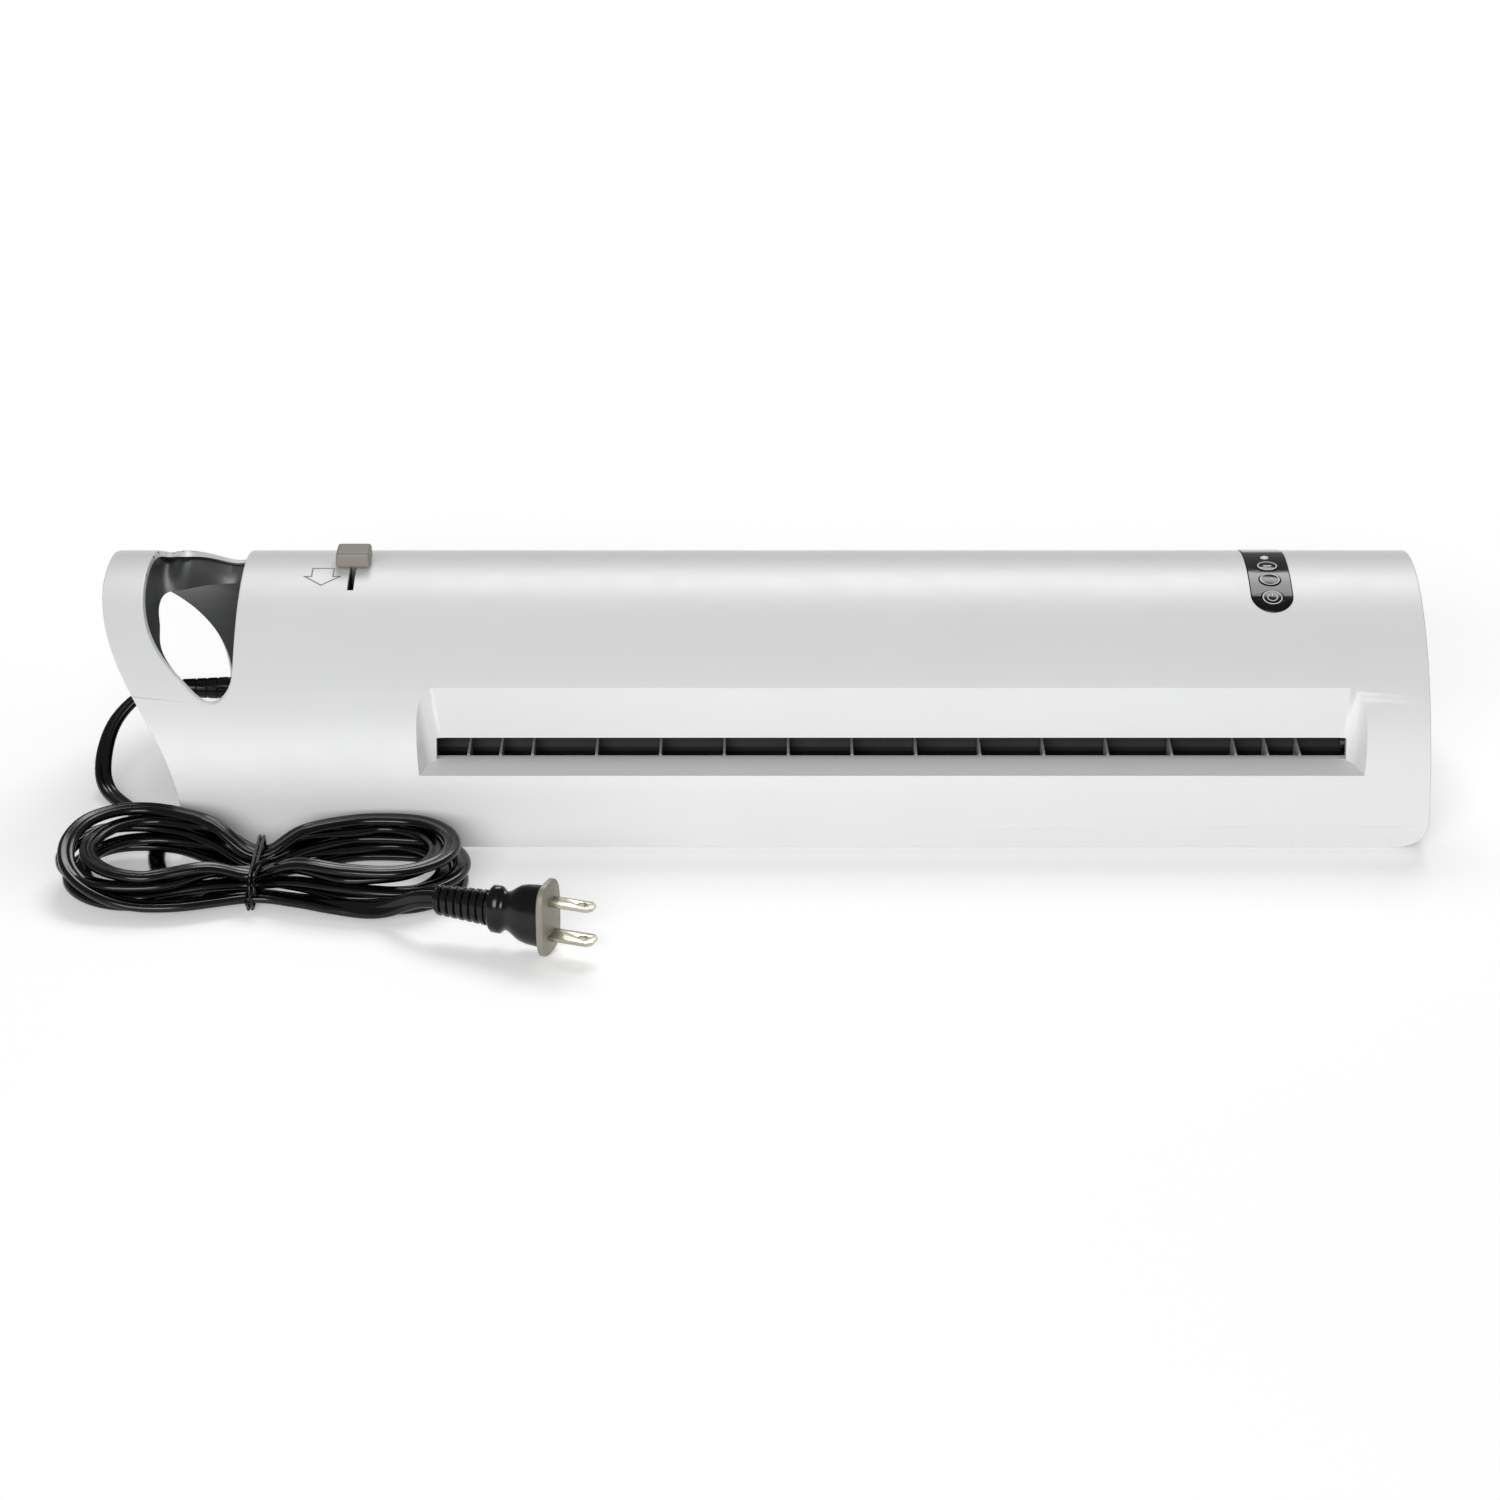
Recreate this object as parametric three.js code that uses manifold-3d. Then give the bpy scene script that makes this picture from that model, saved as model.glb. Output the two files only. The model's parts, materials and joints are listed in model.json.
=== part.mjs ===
// Pouch laminator with a carry handle, made as separate parts in one scene graph.
// Millimetres, +Z up. X runs along the rollers, the exit side faces -Y, the feed side faces +Y.
// The origin is under the middle of the body, on the surface that the feet stand on.

import * as THREE from 'three';
import { mergeVertices } from 'three/addons/utils/BufferGeometryUtils.js';
import { ConvexGeometry } from 'three/addons/geometries/ConvexGeometry.js';
import Module from 'manifold-3d';

const wasm = await Module();
wasm.setup();

// ---------------------------------------------------------------- driving dimensions
const gap = 0.3;                    // clearance between neighbouring parts
const bodyLength = 488;             // handle's outer edge to the closed end
const bodyDepth = 149;              // across the half-round body
const shellHeight = 82.4;           // from the shell's lower edge to its crown
const footHeight = 1.6;             // the shell's lower edge above the table
const wall = 2.4;                   // moulded wall of the shell
const cornerRadius = 9.5;           // lower corner at the closed end
const handleLength = 53.4;          // from the handle's outer edge to the wall behind it
const gripDepth = 11;               // how far the soft lining hangs below the handle's crown
const backRise = 16.5;              // the hand hole ends this much higher at the back
const pouchHeight = 32.8;           // plane that the pouch travels in
const slotEdge = 30;                // from the closed end to the pouch slot
const slotLength = 332.6;           // takes a 12.5 inch pouch
const exitSlotHeight = 7.7;
const exitSlotDrop = 2.3;           // its lower edge below the pouch's plane
const feedSlotHeight = 8;
const recessRoom = 2;               // a recess's ends stand this far outside its slot
const recessDraft = 0.47;           // slope of a recess's end walls, as run over depth
const recessLean = 0.26;            // and as run over height
const ribPitch = 23.45;
const ribCount = 12;
const ribWidth = 0.9;
const hotRadius = 11;               // heated rollers, over the silicone
const exitRadius = 8;               // take-out rollers, over the silicone
const hotY = 14;                    // axis of the heated rollers
const exitY = -32;                  // axis of the take-out rollers
const hotShaft = 4;                 // shaft radii
const exitShaft = 3;
const nipGap = 0.3;                 // between two sleeves
const plateThickness = 1.5;         // steel side plates
const plateInset = 8;               // side plate's inner face to the slot's end
const yokeThickness = 3;
const gearModule = 1;
const gearWidth = 6;
const hotTeeth = 22;
const exitTeeth = 16;
const idlerTeeth = 28;
const pinionTeeth = 12;
const pressureAngle = 25 * Math.PI / 180;
const toothSlack = 0.08;            // taken off each tooth's thickness
const meshSlack = 0.2;              // added to an idler's or pinion's centre distance
const leverBeside = 25.4;           // from the left side plate out to the release lever
const leverPivotY = -9;
const leverPivotZ = 50;
const leverRestY = -1.1;            // middle of the knob at rest
const leverTravel = 24 * Math.PI / 180;
const leverThickness = 1.6;
const leverWidth = 6;
const releaseShaft = 3;
const camRadius = 8;
const camOffset = 3;                // throw of the cams
const lift = camOffset * Math.sin(leverTravel);
const panelEdge = 55.2;             // from the closed end to the middle of the control panel
const panelWidth = 15.2;
const panelNear = -31;              // its ends, as distances from the crown line
const panelFar = 33;
const buttonRadius = 4;
const buttonTravel = 0.5;
const motorRadius = 25;
const motorDepth = 22;
const yokeSeatZ = 61;               // spring seats, undersides
const plateSeatZ = 70;
const seatThickness = 1.5;
const trayLift = 0.2;               // tray's underside above the shell's lower edge
const trayTop = 2.6;
const cordWidth = 6.4;
const cordExitZ = 33;
const plugHalfHeight = 13.5;        // the plug stands on its narrow edge
const bladeSpacing = 12.7;
const bladeLength = 16;
const plugLength = 43.6;            // from the cord to the face that the blades stand on
const roundSteps = 26;              // facets on a quarter of the half-round section

// ---------------------------------------------------------------- worked-out places
const baseZ = footHeight;
const crownZ = baseZ + shellHeight;
const halfDepth = bodyDepth / 2;
const rightX = bodyLength / 2;
const leftX = -bodyLength / 2;
const endWallX = leftX + handleLength;
const slotRight = rightX - slotEdge;
const slotLeft = slotRight - slotLength;
const slotMiddle = (slotLeft + slotRight) / 2;
const hotLowZ = pouchHeight - nipGap / 2 - hotRadius;
const hotHighZ = pouchHeight + nipGap / 2 + hotRadius;
const exitLowZ = pouchHeight - nipGap / 2 - exitRadius;
const exitHighZ = pouchHeight + nipGap / 2 + exitRadius;
const plateLeft = slotLeft - plateInset;           // inner faces of the side plates
const plateRight = slotRight + plateInset - 1;
const sleeveLeft = slotLeft - 1.5;
const sleeveRight = slotRight + 1;
const gearX = plateLeft - plateThickness - 11;      // outer face of the gears
const leverX = plateLeft - leverBeside;
const panelX = rightX - panelEdge;
const exitPlaneY = -(halfDepth - 14.5);             // plane of the exit slot
const feedPlaneY = halfDepth - 14.5;

// ---------------------------------------------------------------- colours
const finishes = {
  shell: [0xf1f2f2, 0.32, 0],
  liner: [0x54585a, 0.7, 0],
  dark: [0x26282a, 0.6, 0],
  gloss: [0x0b0c0d, 0.12, 0],
  knob: [0x86837b, 0.5, 0],
  steel: [0xa9adb0, 0.35, 1],
  aluminium: [0xc3c6c8, 0.4, 1],
  silicone: [0xb5482e, 0.8, 0],
  rubber: [0x1b1c1d, 0.85, 0],
  gear: [0xe9e6d8, 0.55, 0],
  board: [0x1f5a38, 0.5, 0],
  cord: [0x0d0d0e, 0.35, 0],
  lens: [0x9cc7a4, 0.2, 0],
  rib: [0xd5d7d6, 0.5, 0],
};

// ---------------------------------------------------------------- joining and cutting
function toSolid(geometry) {
  const bare = geometry.index ? geometry.toNonIndexed() : geometry.clone();
  for (const name of Object.keys(bare.attributes)) {
    if (name !== 'position') bare.deleteAttribute(name);
  }
  const merged = mergeVertices(bare, 1e-4);
  return new wasm.Manifold(new wasm.Mesh({
    numProp: 3,
    vertProperties: Float32Array.from(merged.attributes.position.array),
    triVerts: Uint32Array.from(merged.index.array),
  }));
}

function toGeometry(solid) {
  const mesh = solid.getMesh();
  const geometry = new THREE.BufferGeometry();
  geometry.setAttribute('position', new THREE.BufferAttribute(mesh.vertProperties, 3));
  geometry.setIndex(new THREE.BufferAttribute(mesh.triVerts, 1));
  return geometry;
}

const cut = (solid, ...tools) => tools.reduce((rest, tool) => rest.subtract(tool), solid);
const join = (...solids) => solids.reduce((whole, piece) => whole.add(piece));

// ---------------------------------------------------------------- basic shapes
// A box between two corners.
function block(low, high) {
  const size = high.map((value, k) => value - low[k]);
  const middle = high.map((value, k) => (value + low[k]) / 2);
  return toSolid(new THREE.BoxGeometry(...size).translate(...middle));
}

// A (y, z) outline pushed along X.
function alongX(shape, from, to, curveSegments = 8) {
  const geometry = new THREE.ExtrudeGeometry(shape, {
    depth: to - from, bevelEnabled: false, curveSegments,
  });
  const axes = new THREE.Matrix4().makeBasis(
    new THREE.Vector3(0, 1, 0), new THREE.Vector3(0, 0, 1), new THREE.Vector3(1, 0, 0));
  return toSolid(geometry.applyMatrix4(axes).translate(from, 0, 0));
}

// An (x, z) outline pushed along Y.
function alongY(shape, from, to, steps = 1, reshape = null) {
  const geometry = new THREE.ExtrudeGeometry(shape, {
    depth: to - from, bevelEnabled: false, curveSegments: 8, steps,
  });
  geometry.rotateX(Math.PI / 2).translate(0, to, 0);
  const spots = geometry.attributes.position;
  for (let k = 0; reshape && k < spots.count; k += 1) {
    spots.setZ(k, reshape(spots.getX(k), spots.getY(k), spots.getZ(k)));
  }
  return toSolid(geometry);
}

// An (x, y) outline pushed along Z.
function alongZ(shape, from, to, curveSegments = 8) {
  const geometry = new THREE.ExtrudeGeometry(shape, {
    depth: to - from, bevelEnabled: false, curveSegments,
  });
  return toSolid(geometry.translate(0, 0, from));
}

// A round bar along X, centred on (y, z).
function rodX(radius, from, to, y, z, sides = 20) {
  const geometry = new THREE.CylinderGeometry(radius, radius, to - from, sides);
  return toSolid(geometry.rotateZ(-Math.PI / 2).translate((from + to) / 2, y, z));
}

// A turned part along X: stations are [x, radius], bore is left open when it isn't 0.
function turnedX(stations, bore, y, z, sides = 24) {
  const profile = stations.map(([x, radius]) => new THREE.Vector2(radius, x));
  const first = stations[0][0];
  const last = stations[stations.length - 1][0];
  profile.unshift(new THREE.Vector2(bore, first));
  profile.push(new THREE.Vector2(bore, last));
  if (bore > 0) profile.push(new THREE.Vector2(bore, first));
  const geometry = new THREE.LatheGeometry(profile, sides);
  return toSolid(geometry.rotateZ(-Math.PI / 2).translate(0, y, z));
}

function polygon(points) {
  return new THREE.Shape(points.map(([a, b]) => new THREE.Vector2(a, b)));
}

function circleHole(shape, x, y, radius) {
  const hole = new THREE.Path();
  hole.absarc(x, y, radius, 0, Math.PI * 2, true);
  shape.holes.push(hole);
}

// An upright slot: a circle hole with room for the cams' lift.
function liftHole(shape, x, y, radius) {
  const hole = new THREE.Path();
  hole.absarc(x, y, radius, Math.PI, Math.PI * 2, false);
  hole.absarc(x, y + lift, radius, 0, Math.PI, false);
  hole.closePath();
  shape.holes.push(hole);
}

// The half-round section of the body, set in from the outer surface.
function halfRound(inset, bottom) {
  const shape = new THREE.Shape();
  shape.moveTo(halfDepth - inset, bottom);
  shape.lineTo(halfDepth - inset, baseZ);
  shape.absellipse(0, baseZ, halfDepth - inset, shellHeight - inset, 0, Math.PI, false, 0);
  shape.lineTo(-halfDepth + inset, bottom);
  shape.closePath();
  return shape;
}

// Height of the outer surface at a distance y from the crown line, and its outward normal.
const surfaceZ = (y) => baseZ + shellHeight * Math.sqrt(1 - (y / halfDepth) ** 2);
function surfaceNormal(y) {
  const z = surfaceZ(y) - baseZ;
  return new THREE.Vector3(0, y / halfDepth ** 2, z / shellHeight ** 2).normalize();
}

// ---------------------------------------------------------------- the shell's outline
// Seen from the exit side: the slanted end of the handle, the flat end, the rounded corner.
function sideOutline(inset) {
  const shape = new THREE.Shape();
  const top = crownZ + 8;
  const foot = leftX + 33 + inset;
  const tip = leftX + inset;
  shape.moveTo(foot, baseZ - 4);
  shape.lineTo(rightX - cornerRadius, baseZ - 4);
  shape.lineTo(rightX - cornerRadius, baseZ);
  shape.absarc(rightX - cornerRadius, baseZ + cornerRadius, cornerRadius, -Math.PI / 2, 0, false);
  shape.lineTo(rightX, top);
  shape.lineTo(tip, top);
  shape.lineTo(tip, crownZ - 2);
  shape.bezierCurveTo(tip + 3, 69, tip + 13, 57, tip + 20, 46);
  shape.bezierCurveTo(tip + 26.5, 36, foot - 0.5, 24, foot, 10);
  shape.closePath();
  return shape;
}

// The hand hole: upright beside the body, round below, following the strap above. Behind the
// crown its lower edge climbs, which leaves a broader strap at the back.
function handHole(grow) {
  const shape = new THREE.Shape();
  const top = crownZ + 8;
  const inner = endWallX - 2.4 + grow;
  const outer = leftX + 15.4 - grow;
  const lowX = inner - grow - 7.5;
  const lowZ = 51.6 - grow;
  shape.moveTo(inner, top);
  shape.lineTo(inner, 62);
  shape.bezierCurveTo(inner, 55.5, lowX + 4, lowZ, lowX, lowZ);
  shape.bezierCurveTo(lowX - 4, lowZ, outer + 20.6, 55.5 - grow, outer + 15.1, 59.7 - grow);
  shape.bezierCurveTo(outer + 6.6, 66.3, outer + 0.4, 74, outer, crownZ - 1);
  shape.lineTo(outer, top);
  shape.closePath();
  const { smoothstep } = THREE.MathUtils;
  return alongY(shape, -halfDepth - 1, halfDepth + 1, 14, (x, y, z) =>
    z + backRise * smoothstep(y, -12, 28) * smoothstep(x, outer, outer + 12));
}

// A recess with sloping ends in one side of the shell. side is -1 at the exit, 1 at the feed.
// plane is where its back stands, and grow makes the pocket that surrounds it.
function recess(side, plane, low, high, top, sill, grow) {
  const reach = 24;
  const [topY, topZ] = [plane + side * top[0], pouchHeight + top[1]];
  const [sillY, sillZ] = [plane + side * 10.7, pouchHeight - sill];
  const section = [
    [plane - side * grow, low - grow],
    [plane - side * grow, high],
    [topY - side * grow, topZ + grow],
    [plane + side * reach, topZ + grow],
    [plane + side * reach, sillZ - (plane + side * reach - sillY) * side * 0.23 - grow],
  ];
  const points = [];
  for (const [y, z] of section) {
    const run = recessRoom + (y - plane) * side * recessDraft + (z - pouchHeight) * recessLean;
    points.push(new THREE.Vector3(slotLeft - run - grow * 1.4, y, z));
    points.push(new THREE.Vector3(slotRight + run + grow * 1.4, y, z));
  }
  return toSolid(new ConvexGeometry(points));
}

const exitLow = pouchHeight - exitSlotDrop;
const exitHigh = exitLow + exitSlotHeight;
const feedLow = pouchHeight - feedSlotHeight / 2;
const feedHigh = pouchHeight + feedSlotHeight / 2;
const exitRecess = (grow) => recess(-1, exitPlaneY, exitLow, exitHigh, [-5, 26.4], 4.4, grow);
const feedRecess = (grow) => recess(1, feedPlaneY, feedLow, feedHigh, [-3, 21.2], 7.3, grow);

// ---------------------------------------------------------------- casing
const bossLeft = endWallX + 11.6;
const bossRight = rightX - 12;
const bossY = halfDepth - 20.5;
const bossSpots = [[bossLeft, bossY], [bossLeft, -bossY], [bossRight, bossY], [bossRight, -bossY]];
const bossRadius = 4;
const screwHole = 1.5;

function topShell() {
  const outer = alongX(halfRound(0, baseZ), leftX - 1, rightX, roundSteps);
  const inner = alongX(halfRound(wall, baseZ - 1), leftX - 2, rightX - wall, roundSteps);
  const pockets = join(exitRecess(wall), feedRecess(wall)).intersect(outer);
  const bosses = bossSpots.map(([x, y]) =>
    toSolid(new THREE.CylinderGeometry(bossRadius, bossRadius, 80, 14)
      .rotateX(Math.PI / 2).translate(x, y, baseZ + 44)).intersect(outer));
  let shell = join(cut(outer, inner), pockets, ...bosses);
  const pilots = bossSpots.map(([x, y]) =>
    toSolid(new THREE.CylinderGeometry(screwHole, screwHole, 20, 10)
      .rotateX(Math.PI / 2).translate(x, y, baseZ + 8)));
  shell = cut(shell, exitRecess(0), feedRecess(0), ...pilots);
  shell = cut(shell,
    block([slotLeft, exitPlaneY - 1, exitLow], [slotRight, exitPlaneY + wall + 1, exitHigh]),
    block([slotLeft, feedPlaneY - wall - 1, feedLow], [slotRight, feedPlaneY + 1, feedHigh]));
  shell = shell.intersect(alongY(sideOutline(0), -halfDepth - 1, halfDepth + 1));
  shell = cut(shell, handHole(0));
  const slotHalf = leverThickness / 2 + 0.4;
  const slotFrom = leverRestY - (crownZ - leverPivotZ) * Math.sin(leverTravel) - leverWidth / 2 - 2.4;
  shell = cut(shell,
    block([leverX - slotHalf, slotFrom, crownZ - 12],
      [leverX + slotHalf, leverRestY + leverWidth / 2 + 1.6, crownZ + 2]),
    panelBlank(gap));
  return shell;
}

// The stadium-shaped column that the control panel fills, seen from above.
function panelBlank(grow) {
  const half = panelWidth / 2 + grow;
  const shape = new THREE.Shape();
  shape.absarc(panelX, panelNear + panelWidth / 2, half, Math.PI, Math.PI * 2, false);
  shape.absarc(panelX, panelFar - panelWidth / 2, half, 0, Math.PI, false);
  shape.closePath();
  return alongZ(shape, crownZ - 24, crownZ + 4);
}

function baseTray() {
  const inset = wall + gap;
  const outline = halfRound(inset, baseZ - 1);
  const slab = alongX(outline, endWallX + 4, rightX - cornerRadius - 0.5, roundSteps)
    .intersect(block([leftX, -halfDepth, baseZ + trayLift], [rightX, halfDepth, baseZ + trayTop]));
  const vents = [];
  for (let k = 0; k < 7; k += 1) {
    const x = slotMiddle - 147.7 + k * 44;
    vents.push(block([x, -20, 0], [x + 26, -17, 10]));
    vents.push(block([x, 17, 0], [x + 26, 20, 10]));
  }
  const clearances = bossSpots.map(([x, y]) =>
    toSolid(new THREE.CylinderGeometry(screwHole + gap, screwHole + gap, 20, 12)
      .rotateX(Math.PI / 2).translate(x, y, baseZ)));
  return cut(slab, ...vents, ...clearances);
}

// Everything above the shell's lower edge, with a little room.
const aboveBase = () => block([leftX - 5, -halfDepth, baseZ + trayLift], [rightX, halfDepth, crownZ]);

// The wall that closes the body behind the handle, with the cord's hole.
function endWall() {
  const shape = halfRound(wall + gap, baseZ - 1);
  circleHole(shape, 0, cordExitZ, 4.3);
  return alongX(shape, endWallX, endWallX + 2.2, roundSteps).intersect(aboveBase());
}

// The soft-touch lining of the handle's inner face, thick from the crown backwards for the grip.
function handleLiner() {
  const outer = wall + gap;
  const thickness = 1.8;
  const inset = outer + thickness;
  const inside = [[halfDepth - inset, baseZ - 2]];
  for (let k = 0; k <= roundSteps * 2; k += 1) {
    const angle = Math.PI * k / (roundSteps * 2);
    const y = (halfDepth - inset) * Math.cos(angle);
    const hang = (gripDepth - thickness) * THREE.MathUtils.smoothstep(y, -52, -18);
    inside.push([y, baseZ + (shellHeight - inset - hang) * Math.sin(angle)]);
  }
  inside.push([inset - halfDepth, baseZ - 2]);
  const strip = cut(alongX(halfRound(outer, baseZ - 1), leftX - 1, endWallX - gap, roundSteps),
    alongX(polygon(inside), leftX - 2, endWallX + 1));
  const trimmed = strip.intersect(aboveBase())
    .intersect(alongY(sideOutline(1.2), -halfDepth, halfDepth));
  return cut(trimmed, handHole(1));
}

// ---------------------------------------------------------------- control panel
const powerY = -24.6;
const thinY = -14.3;
const thickY = -4.4;
const lensY = 4.5;

// A round bar whose axis is the surface's normal at y, between two depths below the surface.
function normalRod(y, radius, low, high, sides = 20) {
  const normal = surfaceNormal(y);
  const geometry = new THREE.CylinderGeometry(radius, radius, high - low, sides);
  geometry.translate(0, (high + low) / 2, 0);
  const turn = new THREE.Quaternion().setFromUnitVectors(new THREE.Vector3(0, 1, 0), normal);
  geometry.applyQuaternion(turn);
  return toSolid(geometry.translate(panelX, y, surfaceZ(y)));
}

function controlPanel() {
  const skin = cut(alongX(halfRound(-gap, baseZ), panelX - 20, panelX + 20, roundSteps),
    alongX(halfRound(wall, baseZ - 1), panelX - 21, panelX + 21, roundSteps));
  const face = skin.intersect(panelBlank(0));
  const holes = [powerY, thinY, thickY].map((y) => normalRod(y, buttonRadius + gap, -8, 4));
  return cut(face, ...holes, normalRod(lensY, 1.6 + gap, -8, 4, 12));
}

function panelButton(y) {
  const cap = normalRod(y, buttonRadius, -wall - 0.6, 0.55);
  return join(cap, normalRod(y, 1.4, -wall - 4, -wall - 0.5, 10));
}

// ---------------------------------------------------------------- chassis
function sidePlate(inner, outer) {
  const shape = polygon([[-50, 6], [56, 6], [56, 40], [46, 58], [26, 72], [-24, 72], [-50, 55]]);
  circleHole(shape, hotY, hotLowZ, hotShaft + 0.4);
  circleHole(shape, exitY, exitLowZ, exitShaft + 0.4);
  liftHole(shape, hotY, hotHighZ, hotShaft + 0.5);
  liftHole(shape, exitY, exitHighZ, exitShaft + 0.5);
  circleHole(shape, leverPivotY, leverPivotZ, releaseShaft + 0.4);
  const plate = alongX(shape, Math.min(inner, outer), Math.max(inner, outer));
  const inward = Math.sign(inner - outer);
  const flangeZ = baseZ + trayTop + gap + 0.1;
  const foot = block([Math.min(outer, outer + inward * 9), -48, flangeZ],
    [Math.max(outer, outer + inward * 9), 52, flangeZ + seatThickness]);
  const seat = block([Math.min(outer, inner + inward * 9), -7, plateSeatZ],
    [Math.max(outer, inner + inward * 9), 3, plateSeatZ + seatThickness]);
  return join(plate, foot, seat);
}

// A plate that carries both upper rollers and rides up on the cam in its window.
function liftYoke(from, to, seatFrom, seatTo) {
  const shape = polygon([[-40, 35], [24, 35], [24, 58], [8, 62.5], [-18, 62.5], [-40, 52]]);
  circleHole(shape, hotY, hotHighZ, hotShaft + 0.4);
  circleHole(shape, exitY, exitHighZ, exitShaft + 0.4);
  const window = new THREE.Path();
  const top = leverPivotZ + camRadius + gap;
  const bottom = leverPivotZ - camRadius - gap - lift;
  const near = leverPivotY + camOffset - camRadius - 1.2;
  const far = leverPivotY + camOffset + camRadius + gap + 0.4;
  window.moveTo(near, bottom);
  window.lineTo(near, top);
  window.lineTo(far, top);
  window.lineTo(far, bottom);
  window.closePath();
  shape.holes.push(window);
  const seat = block([Math.min(seatFrom, seatTo), -7, yokeSeatZ],
    [Math.max(seatFrom, seatTo), 3, yokeSeatZ + seatThickness]);
  return join(alongX(shape, from, to), seat);
}

function cam(from, to) {
  const disc = rodX(camRadius, from, to, leverPivotY + camOffset, leverPivotZ, 28);
  return cut(disc, rodX(releaseShaft + gap, from - 1, to + 1, leverPivotY, leverPivotZ, 14));
}

function spring(x) {
  const turns = 3.5;
  const wire = 0.45;
  const bottom = yokeSeatZ + seatThickness + gap + wire + 0.15;
  const top = plateSeatZ - gap - wire - 0.15;
  const points = [];
  for (let k = 0; k <= turns * 8; k += 1) {
    const angle = k / 8 * Math.PI * 2;
    const z = bottom + (top - bottom) * k / (turns * 8);
    points.push(new THREE.Vector3(x + 3 * Math.cos(angle), -2 + 3 * Math.sin(angle), z));
  }
  const section = new THREE.Shape();
  section.absarc(0, 0, wire, 0, Math.PI * 2, false);
  const path = new THREE.CatmullRomCurve3(points);
  return toSolid(new THREE.ExtrudeGeometry(section, {
    steps: turns * 8, bevelEnabled: false, extrudePath: path, curveSegments: 3,
  }));
}

// ---------------------------------------------------------------- rollers
function rollerCore(shaft, barrel, left, right, y, z) {
  return turnedX([[left, shaft], [sleeveLeft - 1, shaft], [sleeveLeft - 1, barrel],
    [sleeveRight + 1, barrel], [sleeveRight + 1, shaft], [right, shaft]], 0, y, z);
}

function rollerSleeve(radius, bore, y, z) {
  return turnedX([[sleeveLeft, radius], [sleeveRight, radius]], bore, y, z, 32);
}

// ---------------------------------------------------------------- gears
const inv = (angle) => Math.tan(angle) - angle;

// An involute gear across X with one tooth at the angle turn, measured from +Y towards +Z.
function gear(teeth, y, z, turn, bore) {
  const pitch = teeth * gearModule / 2;
  const base = pitch * Math.cos(pressureAngle);
  const root = pitch - 1.25 * gearModule;
  const tip = pitch + 0.95 * gearModule;
  const half = Math.PI / (2 * teeth) - toothSlack / (2 * pitch);
  const start = Math.max(base, root);
  const flank = [root, (start + tip) / 2, tip];
  const halfAngle = (radius) => {
    const at = Math.acos(Math.min(1, base / Math.max(radius, base)));
    return half + inv(pressureAngle) - inv(at);
  };
  const outline = [];
  for (let k = 0; k < teeth; k += 1) {
    const middle = turn + k * 2 * Math.PI / teeth;
    const rising = flank.map((radius) => [radius, middle - halfAngle(radius)]);
    const falling = flank.map((radius) => [radius, middle + halfAngle(radius)]).reverse();
    outline.push(...[...rising, ...falling].map(([radius, angle]) =>
      [radius * Math.cos(angle), radius * Math.sin(angle)]));
  }
  const rim = alongX(polygon(outline), gearX, gearX + gearWidth).translate([0, y, z]);
  return bore > 0 ? cut(rim, rodX(bore, gearX - 1, gearX + gearWidth + 1, y, z, 16)) : rim;
}

// Turn of a second gear so that its tooth space meets the first gear's teeth on the line
// of centres, which leaves the first gear at the angle line.
function meshTurn(line, firstTurn, firstTeeth, secondTeeth) {
  return line + Math.PI + (Math.PI - (firstTurn - line) * firstTeeth) / secondTeeth;
}

const lineOf = (from, to) => Math.atan2(to[1] - from[1], to[0] - from[0]);
const hotLow = [hotY, hotLowZ];
const hotHigh = [hotY, hotHighZ];
const exitLowAt = [exitY, exitLowZ];
const exitHighAt = [exitY, exitHighZ];
const reachHot = (hotTeeth + idlerTeeth) * gearModule / 2 + meshSlack;
const reachExit = (exitTeeth + idlerTeeth) * gearModule / 2 + meshSlack;
const span = Math.hypot(hotLow[0] - exitLowAt[0], hotLow[1] - exitLowAt[1]);
const alongSpan = (span ** 2 + reachHot ** 2 - reachExit ** 2) / (2 * span);
const offSpan = Math.sqrt(reachHot ** 2 - alongSpan ** 2);
const spanLine = lineOf(hotLow, exitLowAt);
const idlerAt = [
  hotLow[0] + alongSpan * Math.cos(spanLine) + offSpan * Math.sin(spanLine),
  hotLow[1] + alongSpan * Math.sin(spanLine) - offSpan * Math.cos(spanLine),
];
const pinionLine = 8 * Math.PI / 180;
const reachPinion = (hotTeeth + pinionTeeth) * gearModule / 2 + meshSlack;
const pinionAt = [
  hotLow[0] + reachPinion * Math.cos(pinionLine),
  hotLow[1] + reachPinion * Math.sin(pinionLine),
];
const hotTurn = 0;
const hotHighTurn = meshTurn(lineOf(hotLow, hotHigh), hotTurn, hotTeeth, hotTeeth);
const idlerTurn = meshTurn(lineOf(hotLow, idlerAt), hotTurn, hotTeeth, idlerTeeth);
const exitTurn = meshTurn(lineOf(idlerAt, exitLowAt), idlerTurn, idlerTeeth, exitTeeth);
const exitHighTurn = meshTurn(lineOf(exitLowAt, exitHighAt), exitTurn, exitTeeth, exitTeeth);
const pinionTurn = meshTurn(lineOf(hotLow, pinionAt), hotTurn, hotTeeth, pinionTeeth);

// ---------------------------------------------------------------- drive
const motorAt = [pinionAt[0] + 2, pinionAt[1] + 10];
const bracketX = gearX - 4.4;
const motorX = bracketX - 1.5 - gap;

function driveMotor() {
  const can = turnedX([[motorX - motorDepth, motorRadius - 1], [motorX - motorDepth + 1, motorRadius],
    [motorX - 1, motorRadius], [motorX, motorRadius - 1]], 0, motorAt[0], motorAt[1], 36);
  const tabs = block([motorX - 1.5, motorAt[0] - 5, motorAt[1] - 29.5],
    [motorX, motorAt[0] + 5, motorAt[1] + 29.5]);
  return join(can, tabs);
}

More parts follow.
